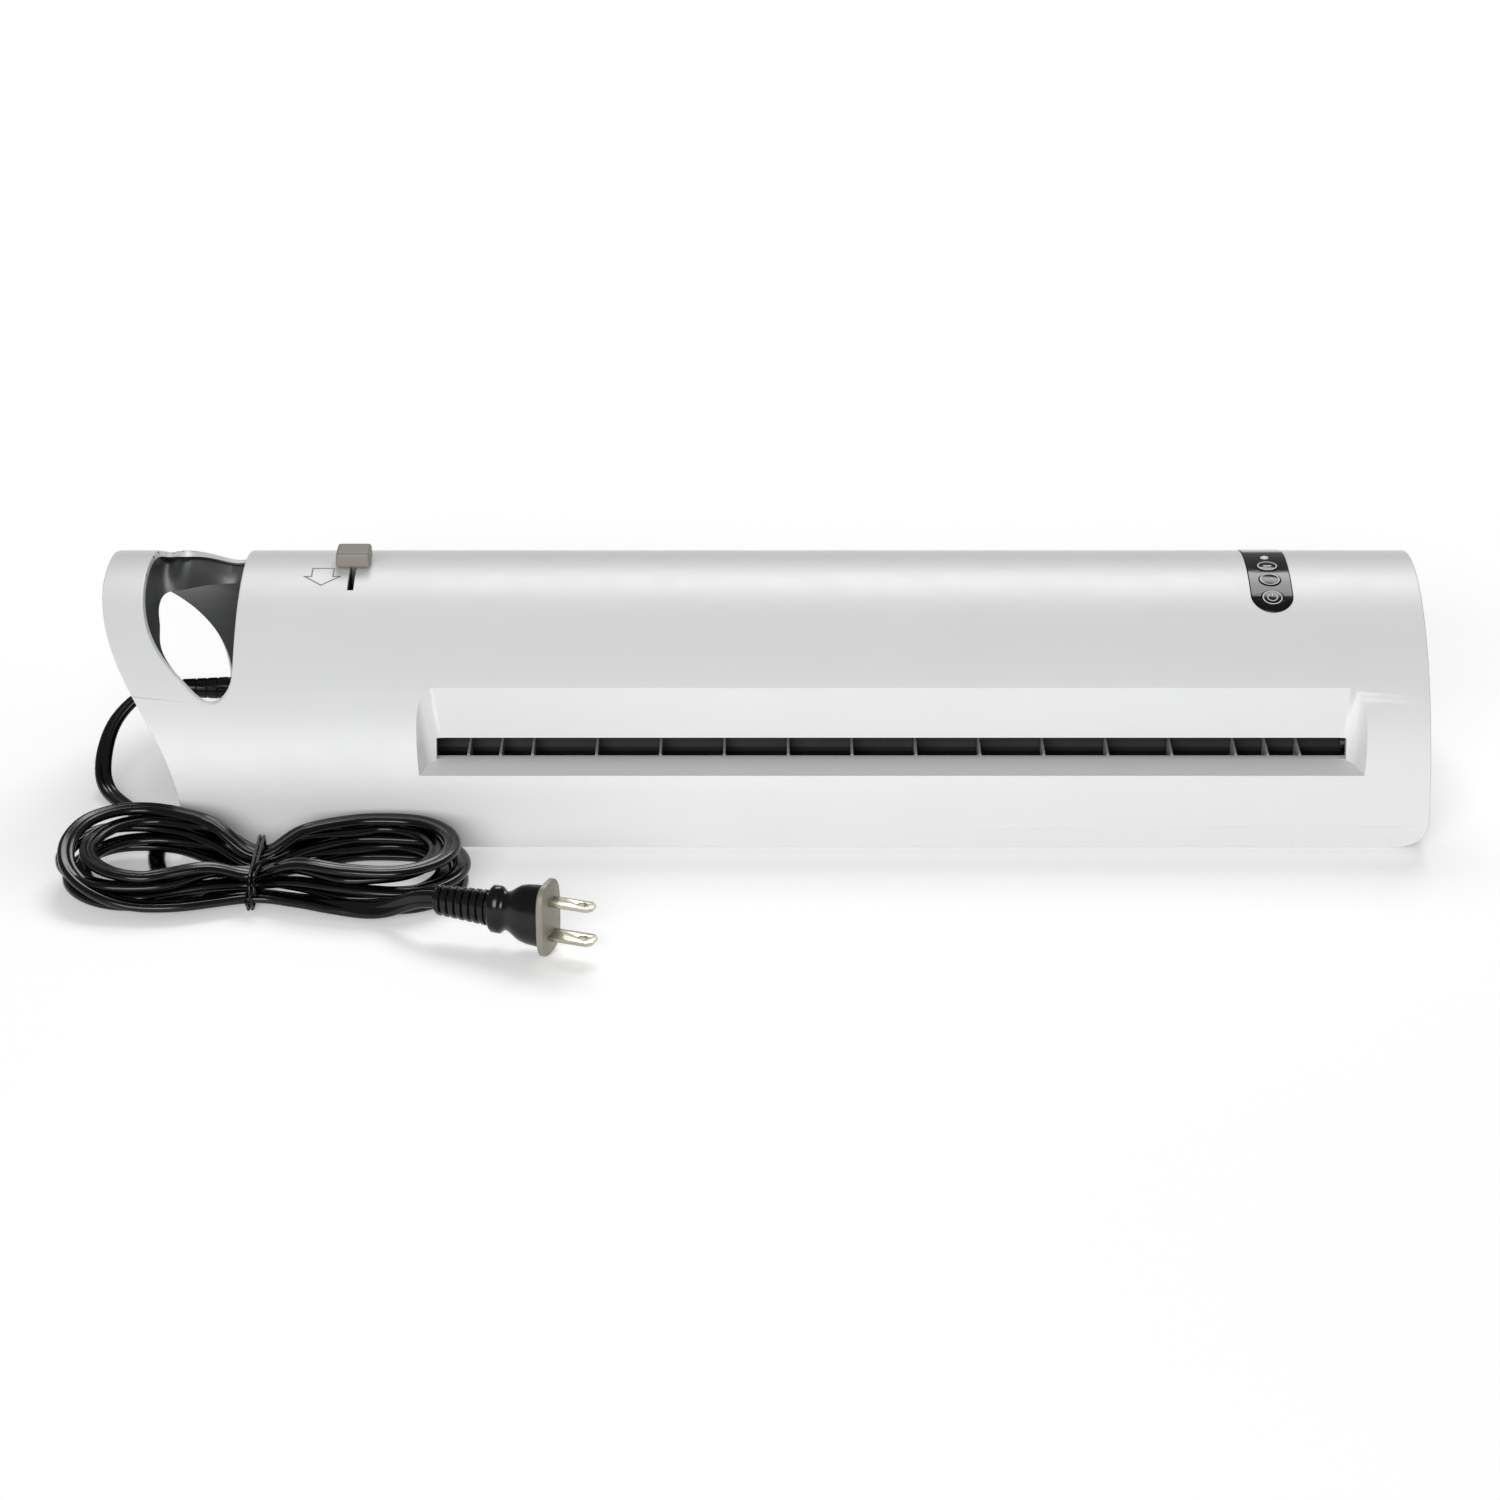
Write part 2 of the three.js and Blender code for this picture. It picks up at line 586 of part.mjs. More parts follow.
function motorBracket() {
  const shape = polygon([[20, 7], [55, 7], [56, 44], [38, 64], [24, 64]]);
  circleHole(shape, pinionAt[0], pinionAt[1], 6);
  const plate = alongX(shape, bracketX - 1.5, bracketX);
  const posts = [[50, 12], [51, 42], [29, 60]].map(([y, z]) =>
    rodX(3, bracketX - 0.5, plateLeft - plateThickness - gap, y, z, 12));
  return join(plate, ...posts);
}

function motorPinion() {
  const teeth = gear(pinionTeeth, pinionAt[0], pinionAt[1], pinionTurn, 0);
  return join(teeth, rodX(2.5, motorX + gap, gearX + gearWidth + 1.5, pinionAt[0], pinionAt[1], 14));
}

// ---------------------------------------------------------------- heaters and guides
// A curved plate round a heated roller, open towards the nip. up is 1 above, -1 below.
function heaterShoe(z, up) {
  const inside = hotRadius + 2.5;
  const outside = inside + 1.8;
  const open = 14 * Math.PI / 180;
  const shape = new THREE.Shape();
  const from = up > 0 ? open : Math.PI + open;
  const to = up > 0 ? Math.PI - open : Math.PI * 2 - open;
  shape.absarc(hotY, z, outside, from, to, false);
  shape.absarc(hotY, z, inside, to, from, true);
  shape.closePath();
  return alongX(shape, sleeveLeft + 4, sleeveRight - 4, 9);
}

function thermostat() {
  const top = hotHighZ + hotRadius + 4.3 + gap;
  return toSolid(new THREE.CylinderGeometry(6, 6, 5, 20).rotateX(Math.PI / 2)
    .translate(slotMiddle, hotY, top + 2.5));
}

// The ribbed guides stand behind the slots, and the pouch slides over their ribs.
function ribbedGuide(near, far, low, ribTop, floorHeight) {
  const floor = block([plateLeft + 0.4, near, low], [plateRight - 0.4, far, low + floorHeight]);
  const first = slotMiddle - 2.5 - ribPitch * (ribCount - 1) / 2;
  const places = [];
  for (let k = 0; k < ribCount; k += 1) places.push(first + ribPitch * k);
  for (const step of [0.5, 1]) {
    places.push(first - ribPitch * step);
    places.push(first + ribPitch * (ribCount - 1 + step));
  }
  const ribs = places.map((x) => block([x - ribWidth / 2, near + 0.01, low + floorHeight - 0.5],
    [x + ribWidth / 2, far - 0.01, ribTop]));
  return join(floor, ...ribs);
}

function controlBoard() {
  const low = crownZ - 18.6;
  const board = block([panelX - 13, -34, low], [panelX + 13, 34, low + 1.6]);
  const switches = [powerY, thinY, thickY].map((y) => {
    const tip = surfaceZ(y) - wall - 5.4 - buttonTravel;
    const at = y - surfaceNormal(y).y * (wall + 4);
    return block([panelX - 2.5, at - 2.5, low + 1], [panelX + 2.5, at + 2.5, tip]);
  });
  return join(board, ...switches);
}

function powerBoard() {
  const near = endWallX + 5.6;
  const board = block([near, -50, 9], [near + 19, 2, 10.6]);
  const parts = [
    block([near + 3, -46, 10], [near + 16, -30, 22]),
    block([near + 3, -26, 10], [near + 15, -16, 18]),
    block([near + 2, -12, 10], [near + 17, -2, 14]),
  ];
  const legs = [[2, -48], [17, -48], [2, 0], [17, 0]].map(([x, y]) =>
    block([near + x - 1.5, y - 1.5, baseZ + trayTop + gap], [near + x + 1.5, y + 1.5, 9.5]));
  return join(board, ...parts, ...legs);
}

// ---------------------------------------------------------------- release lever
function releaseArm() {
  const x0 = leverX - leverThickness / 2;
  const x1 = leverX + leverThickness / 2;
  const shape = new THREE.Shape();
  shape.moveTo(leverPivotY - 7, leverPivotZ);
  shape.absarc(leverPivotY, leverPivotZ, 7, Math.PI, Math.PI * 2, false);
  shape.lineTo(leverRestY + leverWidth / 2, crownZ - 12);
  shape.lineTo(leverRestY + leverWidth / 2, crownZ);
  shape.lineTo(leverRestY - leverWidth / 2, crownZ);
  shape.lineTo(leverRestY - leverWidth / 2, crownZ - 12);
  shape.closePath();
  circleHole(shape, leverPivotY, leverPivotZ, releaseShaft + gap);
  return alongX(shape, x0, x1);
}

function releaseKnob() {
  const shape = new THREE.Shape();
  const halfX = 5.4;
  const halfY = 4.8;
  const round = 1.2;
  shape.moveTo(-halfX + round, -halfY);
  shape.lineTo(halfX - round, -halfY);
  shape.quadraticCurveTo(halfX, -halfY, halfX, -halfY + round);
  shape.lineTo(halfX, halfY - round);
  shape.quadraticCurveTo(halfX, halfY, halfX - round, halfY);
  shape.lineTo(-halfX + round, halfY);
  shape.quadraticCurveTo(-halfX, halfY, -halfX, halfY - round);
  shape.lineTo(-halfX, -halfY + round);
  shape.quadraticCurveTo(-halfX, -halfY, -halfX + round, -halfY);
  const geometry = new THREE.ExtrudeGeometry(shape, {
    depth: 3.9, bevelThickness: 1, bevelSize: 1.1, bevelSegments: 2, curveSegments: 3,
  });
  return toSolid(geometry.translate(leverX, leverRestY, crownZ + gap + 1));
}

// ---------------------------------------------------------------- feet and screws
function foot(x, y) {
  const profile = [[0, 0], [5.5, 0], [6, 0.5], [6, footHeight + trayLift - gap],
    [0, footHeight + trayLift - gap]];
  const geometry = new THREE.LatheGeometry(profile.map(([r, z]) => new THREE.Vector2(r, z)), 20);
  return toSolid(geometry.rotateX(Math.PI / 2).translate(x, y, 0));
}

function baseScrew(x, y) {
  const profile = [[0, 0.6], [2.6, 0.6], [2.6, baseZ - 0.1], [1.2, baseZ - 0.1], [1.2, baseZ + 12],
    [0, baseZ + 12.8]];
  const geometry = new THREE.LatheGeometry(profile.map(([r, z]) => new THREE.Vector2(r, z)), 12);
  return toSolid(geometry.rotateX(Math.PI / 2).translate(x, y, 0));
}

// ---------------------------------------------------------------- cord and plug
const reliefEnd = endWallX - 28.4;

function strainRelief() {
  return turnedX([[reliefEnd, 3.1], [endWallX - 2.5, 4.6], [endWallX - 2.5, 6.5], [endWallX - gap, 6.5],
    [endWallX - gap, 4], [endWallX + 2.5, 4], [endWallX + 2.5, 6], [endWallX + 4.5, 6]],
  0, 0, cordExitZ, 16);
}

// The flat twin lead: its middle line from the strain relief to the hank.
const leadPoints = [
  [reliefEnd - gap, 0, cordExitZ], [leftX + 15, -0.3, cordExitZ - 0.4], [leftX + 6, -2.5, 29],
  [leftX - 0.5, -7, 22.5], [leftX - 3.8, -13, 14.5], [leftX - 4, -20.9, 8], [leftX - 1, -28.3, 4.6],
  [leftX + 4.5, -36.2, 3.7], [leftX + 10.5, -43.9, 3.7], [leftX + 16, -51.4, 3.7], [leftX + 20, -59.1, 3.7],
  [leftX + 22.5, -66.9, 3.7], [leftX + 23.5, -75.6, 3.7],
];
const plugStart = [leftX + 130.7, -143.4, 13.9];
const plugYaw = -19.7 * Math.PI / 180;
const tailPoints = [
  [plugStart[0] - 25.2, -132.9, 4.2], [plugStart[0] - 18.7, -135, 6.2],
  [plugStart[0] - 12.2, -138.1, 9.8], [plugStart[0] - 6.2, -141.4, 13.1],
  [plugStart[0] - 0.8, plugStart[1] + 0.3, plugStart[2]],
];

function tube(points, radius, steps) {
  const section = new THREE.Shape();
  section.absarc(0, 0, radius, 0, Math.PI * 2, false);
  const path = new THREE.CatmullRomCurve3(points.map((p) => new THREE.Vector3(...p)));
  return toSolid(new THREE.ExtrudeGeometry(section, {
    steps, bevelEnabled: false, extrudePath: path, curveSegments: 5,
  }));
}

// The tied hank: two lobes and a waist, as one plain solid.
function cordHank() {
  const middle = -103;
  const waistX = leftX + 63;
  const left = leftX - 6;
  const right = leftX + 136;
  const halfWaist = 17;
  const halfLobe = 26.5;
  const shape = new THREE.Shape();
  const [near, far] = [middle - halfLobe, middle + halfLobe];
  shape.moveTo(waistX, middle - halfWaist);
  shape.bezierCurveTo(waistX + 18, middle - halfWaist, right - 42, near, right - 30, near);
  shape.bezierCurveTo(right - 10, near, right, middle - 16, right, middle);
  shape.bezierCurveTo(right, middle + 16, right - 10, far, right - 30, far);
  shape.bezierCurveTo(right - 42, far, waistX + 18, middle + halfWaist, waistX, middle + halfWaist);
  shape.bezierCurveTo(waistX - 18, middle + halfWaist, left + 40, far, left + 30, far);
  shape.bezierCurveTo(left + 10, far, left, middle + 16, left, middle);
  shape.bezierCurveTo(left, middle - 16, left + 10, near, left + 30, near);
  shape.bezierCurveTo(left + 40, near, waistX - 18, middle - halfWaist, waistX, middle - halfWaist);
  return alongZ(shape, 0.2, 20, 7);
}

// The plug in its own frame: +X towards the blades, standing on its narrow edge.
function plugBody() {
  const section = (halfWide, halfTall, from, to, taper = 1) => {
    const shape = new THREE.CylinderGeometry(1, taper, to - from, 16);
    shape.rotateZ(-Math.PI / 2).scale(1, halfWide, halfTall);
    return toSolid(shape.translate((from + to) / 2, 0, 0));
  };
  const ringEnd = plugLength - 18;
  const boot = section(4.6, 6.3, 0, ringEnd - 4, 0.72);
  const ring = section(6.2, 8.8, ringEnd - 4.5, ringEnd);
  const bell = section(7.6, 11, ringEnd - 1, plugLength - 2, 0.78);
  const flangeShape = new THREE.Shape();
  flangeShape.absellipse(0, 0, 8.6, plugHalfHeight, 0, Math.PI * 2, false, 0);
  const flange = alongX(flangeShape, plugLength - 2.4, plugLength, 10);
  const slots = [-1, 1].map((side) => {
    const z = side * bladeSpacing / 2;
    return block([plugLength - 6.5, -4.3 - gap, z - 0.8 - gap], [plugLength + 4, 4.3 + gap, z + 0.8 + gap]);
  });
  return cut(join(boot, ring, bell, flange), ...slots);
}

function plugBlade(side) {
  const halfWidth = side > 0 ? 3.2 : 4;
  const z = side * bladeSpacing / 2;
  const root = plugLength - 6.1;
  const end = plugLength + bladeLength;
  const shape = new THREE.Shape();
  shape.moveTo(root, -halfWidth);
  shape.lineTo(end - 1.5, -halfWidth);
  shape.lineTo(end, -halfWidth + 1.5);
  shape.lineTo(end, halfWidth - 1.5);
  shape.lineTo(end - 1.5, halfWidth);
  shape.lineTo(root, halfWidth);
  shape.closePath();
  circleHole(shape, end - 4.6, 0, 1.6);
  return alongZ(shape, z - 0.75, z + 0.75, 6);
}

// ---------------------------------------------------------------- the assembly
const laminator = new THREE.Group();

function add(name, finish, solid, parent = laminator) {
  const [color, roughness, metalness] = finishes[finish];
  const material = new THREE.MeshStandardMaterial({ color, roughness, metalness });
  const mesh = new THREE.Mesh(toGeometry(solid), material);
  mesh.name = name;
  parent.add(mesh);
}

add('top_shell', 'shell', topShell());
add('base_tray', 'shell', baseTray());
add('handle_end_wall', 'dark', endWall());
add('handle_liner', 'liner', handleLiner());

add('control_panel', 'gloss', controlPanel());
add('power_button', 'gloss', panelButton(powerY));
add('thin_pouch_button', 'gloss', panelButton(thinY));
add('thick_pouch_button', 'gloss', panelButton(thickY));
add('ready_lens', 'lens', normalRod(lensY, 1.6, -wall - 1, 0.5, 12));
add('control_board', 'board', controlBoard());
add('power_board', 'board', powerBoard());

add('left_side_plate', 'steel', sidePlate(plateLeft, plateLeft - plateThickness));
add('right_side_plate', 'steel', sidePlate(plateRight, plateRight + plateThickness));
add('tie_bar', 'steel', rodX(4, plateLeft + gap, plateRight - gap, 40, 13, 14));

const yokeLeft = plateLeft + 0.4;
const yokeRight = plateRight - 0.4;
add('left_lift_yoke', 'steel', liftYoke(yokeLeft, yokeLeft + yokeThickness, yokeLeft, yokeLeft + 8));
add('right_lift_yoke', 'steel', liftYoke(yokeRight - yokeThickness, yokeRight, yokeRight, yokeRight - 8));
add('left_spring', 'steel', spring(yokeLeft + 4.2));
add('right_spring', 'steel', spring(yokeRight - 4.2));

add('release_shaft', 'steel',
  rodX(releaseShaft, leverX - 5, plateRight + plateThickness + 5, leverPivotY, leverPivotZ, 14));
add('left_cam', 'gear', cam(yokeLeft + 0.2, yokeLeft + yokeThickness - 0.2));
add('right_cam', 'gear', cam(yokeRight - yokeThickness + 0.2, yokeRight - 0.2));
add('release_arm', 'steel', releaseArm());
add('release_knob', 'knob', releaseKnob());

const rollers = [
  ['hot_lower', hotShaft, 7, hotRadius, hotY, hotLowZ],
  ['hot_upper', hotShaft, 7, hotRadius, hotY, hotHighZ],
  ['exit_lower', exitShaft, 5, exitRadius, exitY, exitLowZ],
  ['exit_upper', exitShaft, 5, exitRadius, exitY, exitHighZ],
];
for (const [name, shaft, barrel, radius, y, z] of rollers) {
  const left = gearX - 1.5;
  const right = plateRight + plateThickness + 3;
  add(`${name}_roller_core`, 'steel', rollerCore(shaft, barrel, left, right, y, z));
  add(`${name}_roller_sleeve`, 'silicone', rollerSleeve(radius, barrel + gap, y, z));
}

add('hot_lower_gear', 'gear', gear(hotTeeth, ...hotLow, hotTurn, hotShaft + gap));
add('hot_upper_gear', 'gear', gear(hotTeeth, ...hotHigh, hotHighTurn, hotShaft + gap));
add('exit_lower_gear', 'gear', gear(exitTeeth, ...exitLowAt, exitTurn, exitShaft + gap));
add('exit_upper_gear', 'gear', gear(exitTeeth, ...exitHighAt, exitHighTurn, exitShaft + gap));
add('idler_gear', 'gear', gear(idlerTeeth, ...idlerAt, idlerTurn, 3 + gap));
add('idler_stud', 'steel',
  rodX(3, gearX - 2, plateLeft - plateThickness - gap, idlerAt[0], idlerAt[1], 14));
add('motor_pinion', 'gear', motorPinion());
add('drive_motor', 'steel', driveMotor());
add('motor_bracket', 'steel', motorBracket());

add('upper_heater_shoe', 'aluminium', heaterShoe(hotHighZ, 1));
add('lower_heater_shoe', 'aluminium', heaterShoe(hotLowZ, -1));
add('thermostat', 'dark', thermostat());
const exitGuideEnds = [exitPlaneY + wall + gap + 0.5, exitY - exitRadius - 2];
const feedGuideEnds = [hotY + hotRadius + 7, feedPlaneY - wall - gap];
add('exit_guide', 'rib', ribbedGuide(...exitGuideEnds, pouchHeight - 13.8, pouchHeight - 2, 2.5));
add('feed_guide', 'dark', ribbedGuide(...feedGuideEnds, pouchHeight - 15.8, pouchHeight - 2.2, 2.5));

const footLeft = leftX + 79;
const footRight = rightX - 39;
const footY = halfDepth - 26.5;
const footSpots = [[footLeft, footY], [footLeft, -footY], [footRight, footY], [footRight, -footY]];
footSpots.forEach(([x, y], k) => add(`foot_${k + 1}`, 'rubber', foot(x, y)));
bossSpots.forEach(([x, y], k) => add(`base_screw_${k + 1}`, 'steel', baseScrew(x, y)));

add('strain_relief', 'cord', strainRelief());
add('cord_lead', 'cord', tube(leadPoints, cordWidth / 2, 12));
add('cord_hank', 'cord', cordHank());
add('cord_tail', 'cord', tube(tailPoints, cordWidth / 2, 6));
const plug = new THREE.Group();
plug.position.set(...plugStart);
plug.rotation.z = plugYaw;
laminator.add(plug);
add('plug_body', 'cord', plugBody(), plug);
add('plug_blade_narrow', 'steel', plugBlade(1), plug);
add('plug_blade_wide', 'steel', plugBlade(-1), plug);

export default laminator;
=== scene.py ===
import json
import math
import bmesh
import bpy
from mathutils import Matrix, Vector
from mathutils.geometry import interpolate_bezier


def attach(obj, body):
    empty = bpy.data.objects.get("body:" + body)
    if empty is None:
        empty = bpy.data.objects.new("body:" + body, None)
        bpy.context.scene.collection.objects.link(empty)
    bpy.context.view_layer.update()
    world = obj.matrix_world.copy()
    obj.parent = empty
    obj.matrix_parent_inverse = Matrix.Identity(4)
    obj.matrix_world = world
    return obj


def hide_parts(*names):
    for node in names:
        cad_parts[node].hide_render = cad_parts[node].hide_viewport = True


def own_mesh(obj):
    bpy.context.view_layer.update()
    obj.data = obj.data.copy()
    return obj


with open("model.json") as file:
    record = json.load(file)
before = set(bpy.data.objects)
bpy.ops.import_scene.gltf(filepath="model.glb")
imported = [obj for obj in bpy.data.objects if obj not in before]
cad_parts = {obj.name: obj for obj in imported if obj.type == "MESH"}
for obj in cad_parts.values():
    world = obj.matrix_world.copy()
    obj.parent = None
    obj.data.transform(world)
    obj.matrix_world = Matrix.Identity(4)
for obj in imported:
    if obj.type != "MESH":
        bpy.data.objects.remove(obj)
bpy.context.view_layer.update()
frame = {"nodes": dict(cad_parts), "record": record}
scene = bpy.context.scene
mm = 0.001

# the body's shape, which several pieces share; millimetres throughout
body = {
    "left": -244, "right": 244, "halfDepth": 74.5, "height": 82.4, "base": 1.6, "wall": 2.4, "gap": 0.3,
    "facets": 96, "endWall": -190.6, "corner": 9.5,
}
crown = body["base"] + body["height"]


# camera
cameraSettings = {"aim": (1.9, -69.2, 36), "distance": 1490, "elevation": 24, "lens": 98.4, "shiftX": -0.0107,
                  "shiftY": 0.0033}


def makeCamera(s):
    data = bpy.data.cameras.new("camera")
    data.lens = s["lens"]
    data.sensor_width = 36
    data.shift_x = s["shiftX"]
    data.shift_y = s["shiftY"]
    eye = bpy.data.objects.new("camera", data)
    scene.collection.objects.link(eye)
    rise = math.radians(s["elevation"])
    back = Vector((0, -math.cos(rise), math.sin(rise)))
    eye.location = (Vector(s["aim"]) + back * s["distance"]) * mm
    eye.rotation_euler = (math.pi / 2 - rise, 0, 0)
    scene.camera = eye


makeCamera(cameraSettings)


# materials
def linear(code):
    parts = [int(code[k:k + 2], 16) / 255 for k in (1, 3, 5)]
    return [*(p / 12.92 if p <= 0.04045 else ((p + 0.055) / 1.055) ** 2.4 for p in parts), 1]


def addNode(tree, kind, inputs=None, **settings):
    node = tree.nodes.new(kind)
    for key, value in settings.items():
        setattr(node, key, value)
    for key, value in (inputs or {}).items():
        if isinstance(value, bpy.types.NodeSocket):
            tree.links.new(value, node.inputs[key])
        else:
            node.inputs[key].default_value = value
    return node


def startMaterial(name, ior=1.5, metallic=0.0):
    material = bpy.data.materials.new(name)
    material.use_nodes = True
    tree = material.node_tree
    shader = tree.nodes["Principled BSDF"]
    shader.inputs["IOR"].default_value = ior
    shader.inputs["Metallic"].default_value = metallic
    place = addNode(tree, "ShaderNodeTexCoord").outputs["Object"]
    return material, tree, shader, place


# moulded plastic and rubber: two close tones in slow clouds, a grain from the tool's
# spark-eroded face, and a roughness that drifts a little; sizes in millimetres
def mouldedPlastic(name, tone, shade, roughness, grain, depth, ior=1.5, cloudSize=45, drift=0.04):
    material, tree, shader, place = startMaterial(name, ior)
    clouds = addNode(tree, "ShaderNodeTexNoise", {"Vector": place, "Scale": 1 / (cloudSize * mm), "Detail": 3})
    mixed = addNode(tree, "ShaderNodeMix", {0: clouds.outputs["Fac"], 6: linear(tone), 7: linear(shade)},
                    data_type="RGBA")
    tree.links.new(mixed.outputs[2], shader.inputs["Base Color"])
    smears = addNode(tree, "ShaderNodeTexNoise", {"Vector": place, "Scale": 1 / (cloudSize * 0.3 * mm),
                                                  "Detail": 5})
    rough = addNode(tree, "ShaderNodeMapRange", {"Value": smears.outputs["Fac"],
                                                 "From Min": 0.3, "From Max": 0.7,
                                                 "To Min": roughness - drift, "To Max": roughness + drift})
    tree.links.new(rough.outputs["Result"], shader.inputs["Roughness"])
    spark = addNode(tree, "ShaderNodeTexNoise", {"Vector": place, "Scale": 1 / (grain * mm), "Detail": 2})
    bump = addNode(tree, "ShaderNodeBump", {"Height": spark.outputs["Fac"], "Distance": depth * mm,
                                            "Strength": 0.6})
    tree.links.new(bump.outputs["Normal"], shader.inputs["Normal"])
    return material


# rolled, turned or plated metal: fine lines stretched along one axis, 4 micrometres deep
def workedMetal(name, tone, shade, roughness, grain, stretch):
    material, tree, shader, place = startMaterial(name, metallic=1.0)
    along = addNode(tree, "ShaderNodeMapping", {"Vector": place, "Scale": stretch})
    lines = addNode(tree, "ShaderNodeTexNoise", {"Vector": along.outputs["Vector"], "Scale": 1 / (grain * mm),
                                                 "Detail": 4})
    mixed = addNode(tree, "ShaderNodeMix", {0: lines.outputs["Fac"], 6: linear(tone), 7: linear(shade)},
                    data_type="RGBA")
    tree.links.new(mixed.outputs[2], shader.inputs["Base Color"])
    rough = addNode(tree, "ShaderNodeMapRange", {"Value": lines.outputs["Fac"],
                                                 "From Min": 0.3, "From Max": 0.7,
                                                 "To Min": roughness - 0.06, "To Max": roughness + 0.06})
    tree.links.new(rough.outputs["Result"], shader.inputs["Roughness"])
    bump = addNode(tree, "ShaderNodeBump", {"Height": lines.outputs["Fac"], "Distance": 0.004 * mm,
                                            "Strength": 0.5})
    tree.links.new(bump.outputs["Normal"], shader.inputs["Normal"])
    return material


# satin white ABS: bright and even, with a broad soft sheen and a grain just felt, 0.35 mm
shellWhite = mouldedPlastic("satinWhiteAbsMoulded", "#dfe0e0", "#dbdcdb", 0.36, 0.35, 0.012, drift=0.03)
# soft-touch dark liner: dull grey-black that takes a wide pale highlight
linerGrey = mouldedPlastic("softTouchLinerMoulded", "#2c2e2f", "#26282a", 0.42, 0.4, 0.02)
# black ABS with a coarse spark texture, for parts behind the slots; its near-black tone is partly painted
# shade, so the insides of the slots read dark
darkAbsAndShade = mouldedPlastic("blackAbsSparkTextured", "#060607", "#0a0b0b", 0.6, 0.5, 0.03)
# panel label, black acrylic polished to a mirror: reads grey only where it mirrors the light
panelBlack = mouldedPlastic("polishedBlackAcrylic", "#020203", "#030304", 0.1, 2.5, 0.001, ior=1.4, drift=0.02)
# button caps in the same black, a little less polished from handling
capBlack = mouldedPlastic("handledBlackAcrylic", "#030304", "#050506", 0.16, 1.6, 0.002, ior=1.4)
# screen-printed ink: matt pale grey, slightly uneven where the mesh left it thin
inkGrey = mouldedPlastic("screenPrintedInkPale", "#d8dadb", "#b9bcbd", 0.55, 0.25, 0.01, cloudSize=2)
inkFaint = mouldedPlastic("screenPrintedInkGrey", "#6f7274", "#7b7d7f", 0.6, 0.25, 0.01, cloudSize=3)
# knob in warm grey ABS, satin, with a fine grain that catches the rounded edges
knobGrey = mouldedPlastic("warmGreyAbsMoulded", "#8a867d", "#837f77", 0.45, 0.3, 0.015, cloudSize=6)
# cord jacket and plug in black PVC: soft gloss, slightly uneven as extruded
cordBlack = mouldedPlastic("blackPvcExtruded", "#020202", "#040404", 0.18, 9, 0.02, ior=1.42, cloudSize=20,
                           drift=0.05)
plugBlack = mouldedPlastic("blackPvcMoulded", "#030303", "#060606", 0.2, 0.6, 0.004, ior=1.42, cloudSize=8,
                           drift=0.05)
# the plug's pressed face: grey with a dull warmth
plugFace = mouldedPlastic("greyPhenolicPressed", "#8b897a", "#807e70", 0.38, 0.4, 0.01, cloudSize=5)
# feet in black rubber: dull and slightly dusty
rubber = mouldedPlastic("blackRubberMoulded", "#161616", "#202020", 0.75, 0.5, 0.03, cloudSize=6)
# roller sleeves in ground silicone: dark and matt, and made nearly black as painted shade so they stay in the
# slots' dark
siliconeDarkAndShade = mouldedPlastic("darkSiliconeGround", "#080706", "#0c0a09", 0.6, 0.3, 0.02)
# gears in natural acetal: warm off-white, a little waxy
acetal = mouldedPlastic("naturalAcetalMoulded", "#d9d4c2", "#cdc7b3", 0.45, 0.6, 0.01)
# circuit board: green lacquer over glass cloth
boardGreen = mouldedPlastic("fibreglassBoardLacquered", "#1d4a2f", "#15391f", 0.35, 0.45, 0.02, cloudSize=3)
# ready light in clear acrylic: smooth, with hardly any colour
lensClear = mouldedPlastic("clearAcrylicLens", "#dfe4df", "#ccd3cd", 0.12, 1.5, 0.004, cloudSize=2)
# zinc-plated steel with rolling lines, bare aluminium, and nickel drawn along the blades
steel = workedMetal("zincPlatedSteelRolled", "#a8abad", "#93979a", 0.38, 0.6, (0.1, 1, 1))
aluminium = workedMetal("bareAluminiumExtruded", "#b9bcbe", "#a8abad", 0.4, 0.8, (0.06, 1, 1))
nickel = workedMetal("nickelPlatedBrassStamped", "#c9c3b4", "#b4ad9d", 0.25, 0.5, (0.15, 1, 1))


# pale moulded ribs; below 22.2 mm their colour turns near black, a painted shade at the roots between the ribs
def ribMaterial():
    material, tree, shader, place = startMaterial("paleAbsRibsOnBlack")
    height = addNode(tree, "ShaderNodeSeparateXYZ", {"Vector": place})
    top = addNode(tree, "ShaderNodeMapRange", {"Value": height.outputs["Z"], "From Min": 22.2 * mm,
                                               "From Max": 22.8 * mm})
    clouds = addNode(tree, "ShaderNodeTexNoise", {"Vector": place, "Scale": 1 / (3 * mm), "Detail": 3})
    pale = addNode(tree, "ShaderNodeMix", {0: clouds.outputs["Fac"], 6: linear("#c9cbca"),
                                           7: linear("#b3b5b4")}, data_type="RGBA")
    # the near-black colour under the height mask is painted shade in the guide's depths, not a black part
    mixed = addNode(tree, "ShaderNodeMix", {0: top.outputs["Result"], 6: linear("#040404"), 7: pale.outputs[2]},
                    data_type="RGBA")
    tree.links.new(mixed.outputs[2], shader.inputs["Base Color"])
    rough = addNode(tree, "ShaderNodeMapRange", {"Value": clouds.outputs["Fac"], "To Min": 0.5, "To Max": 0.62})
    tree.links.new(rough.outputs["Result"], shader.inputs["Roughness"])
    return material


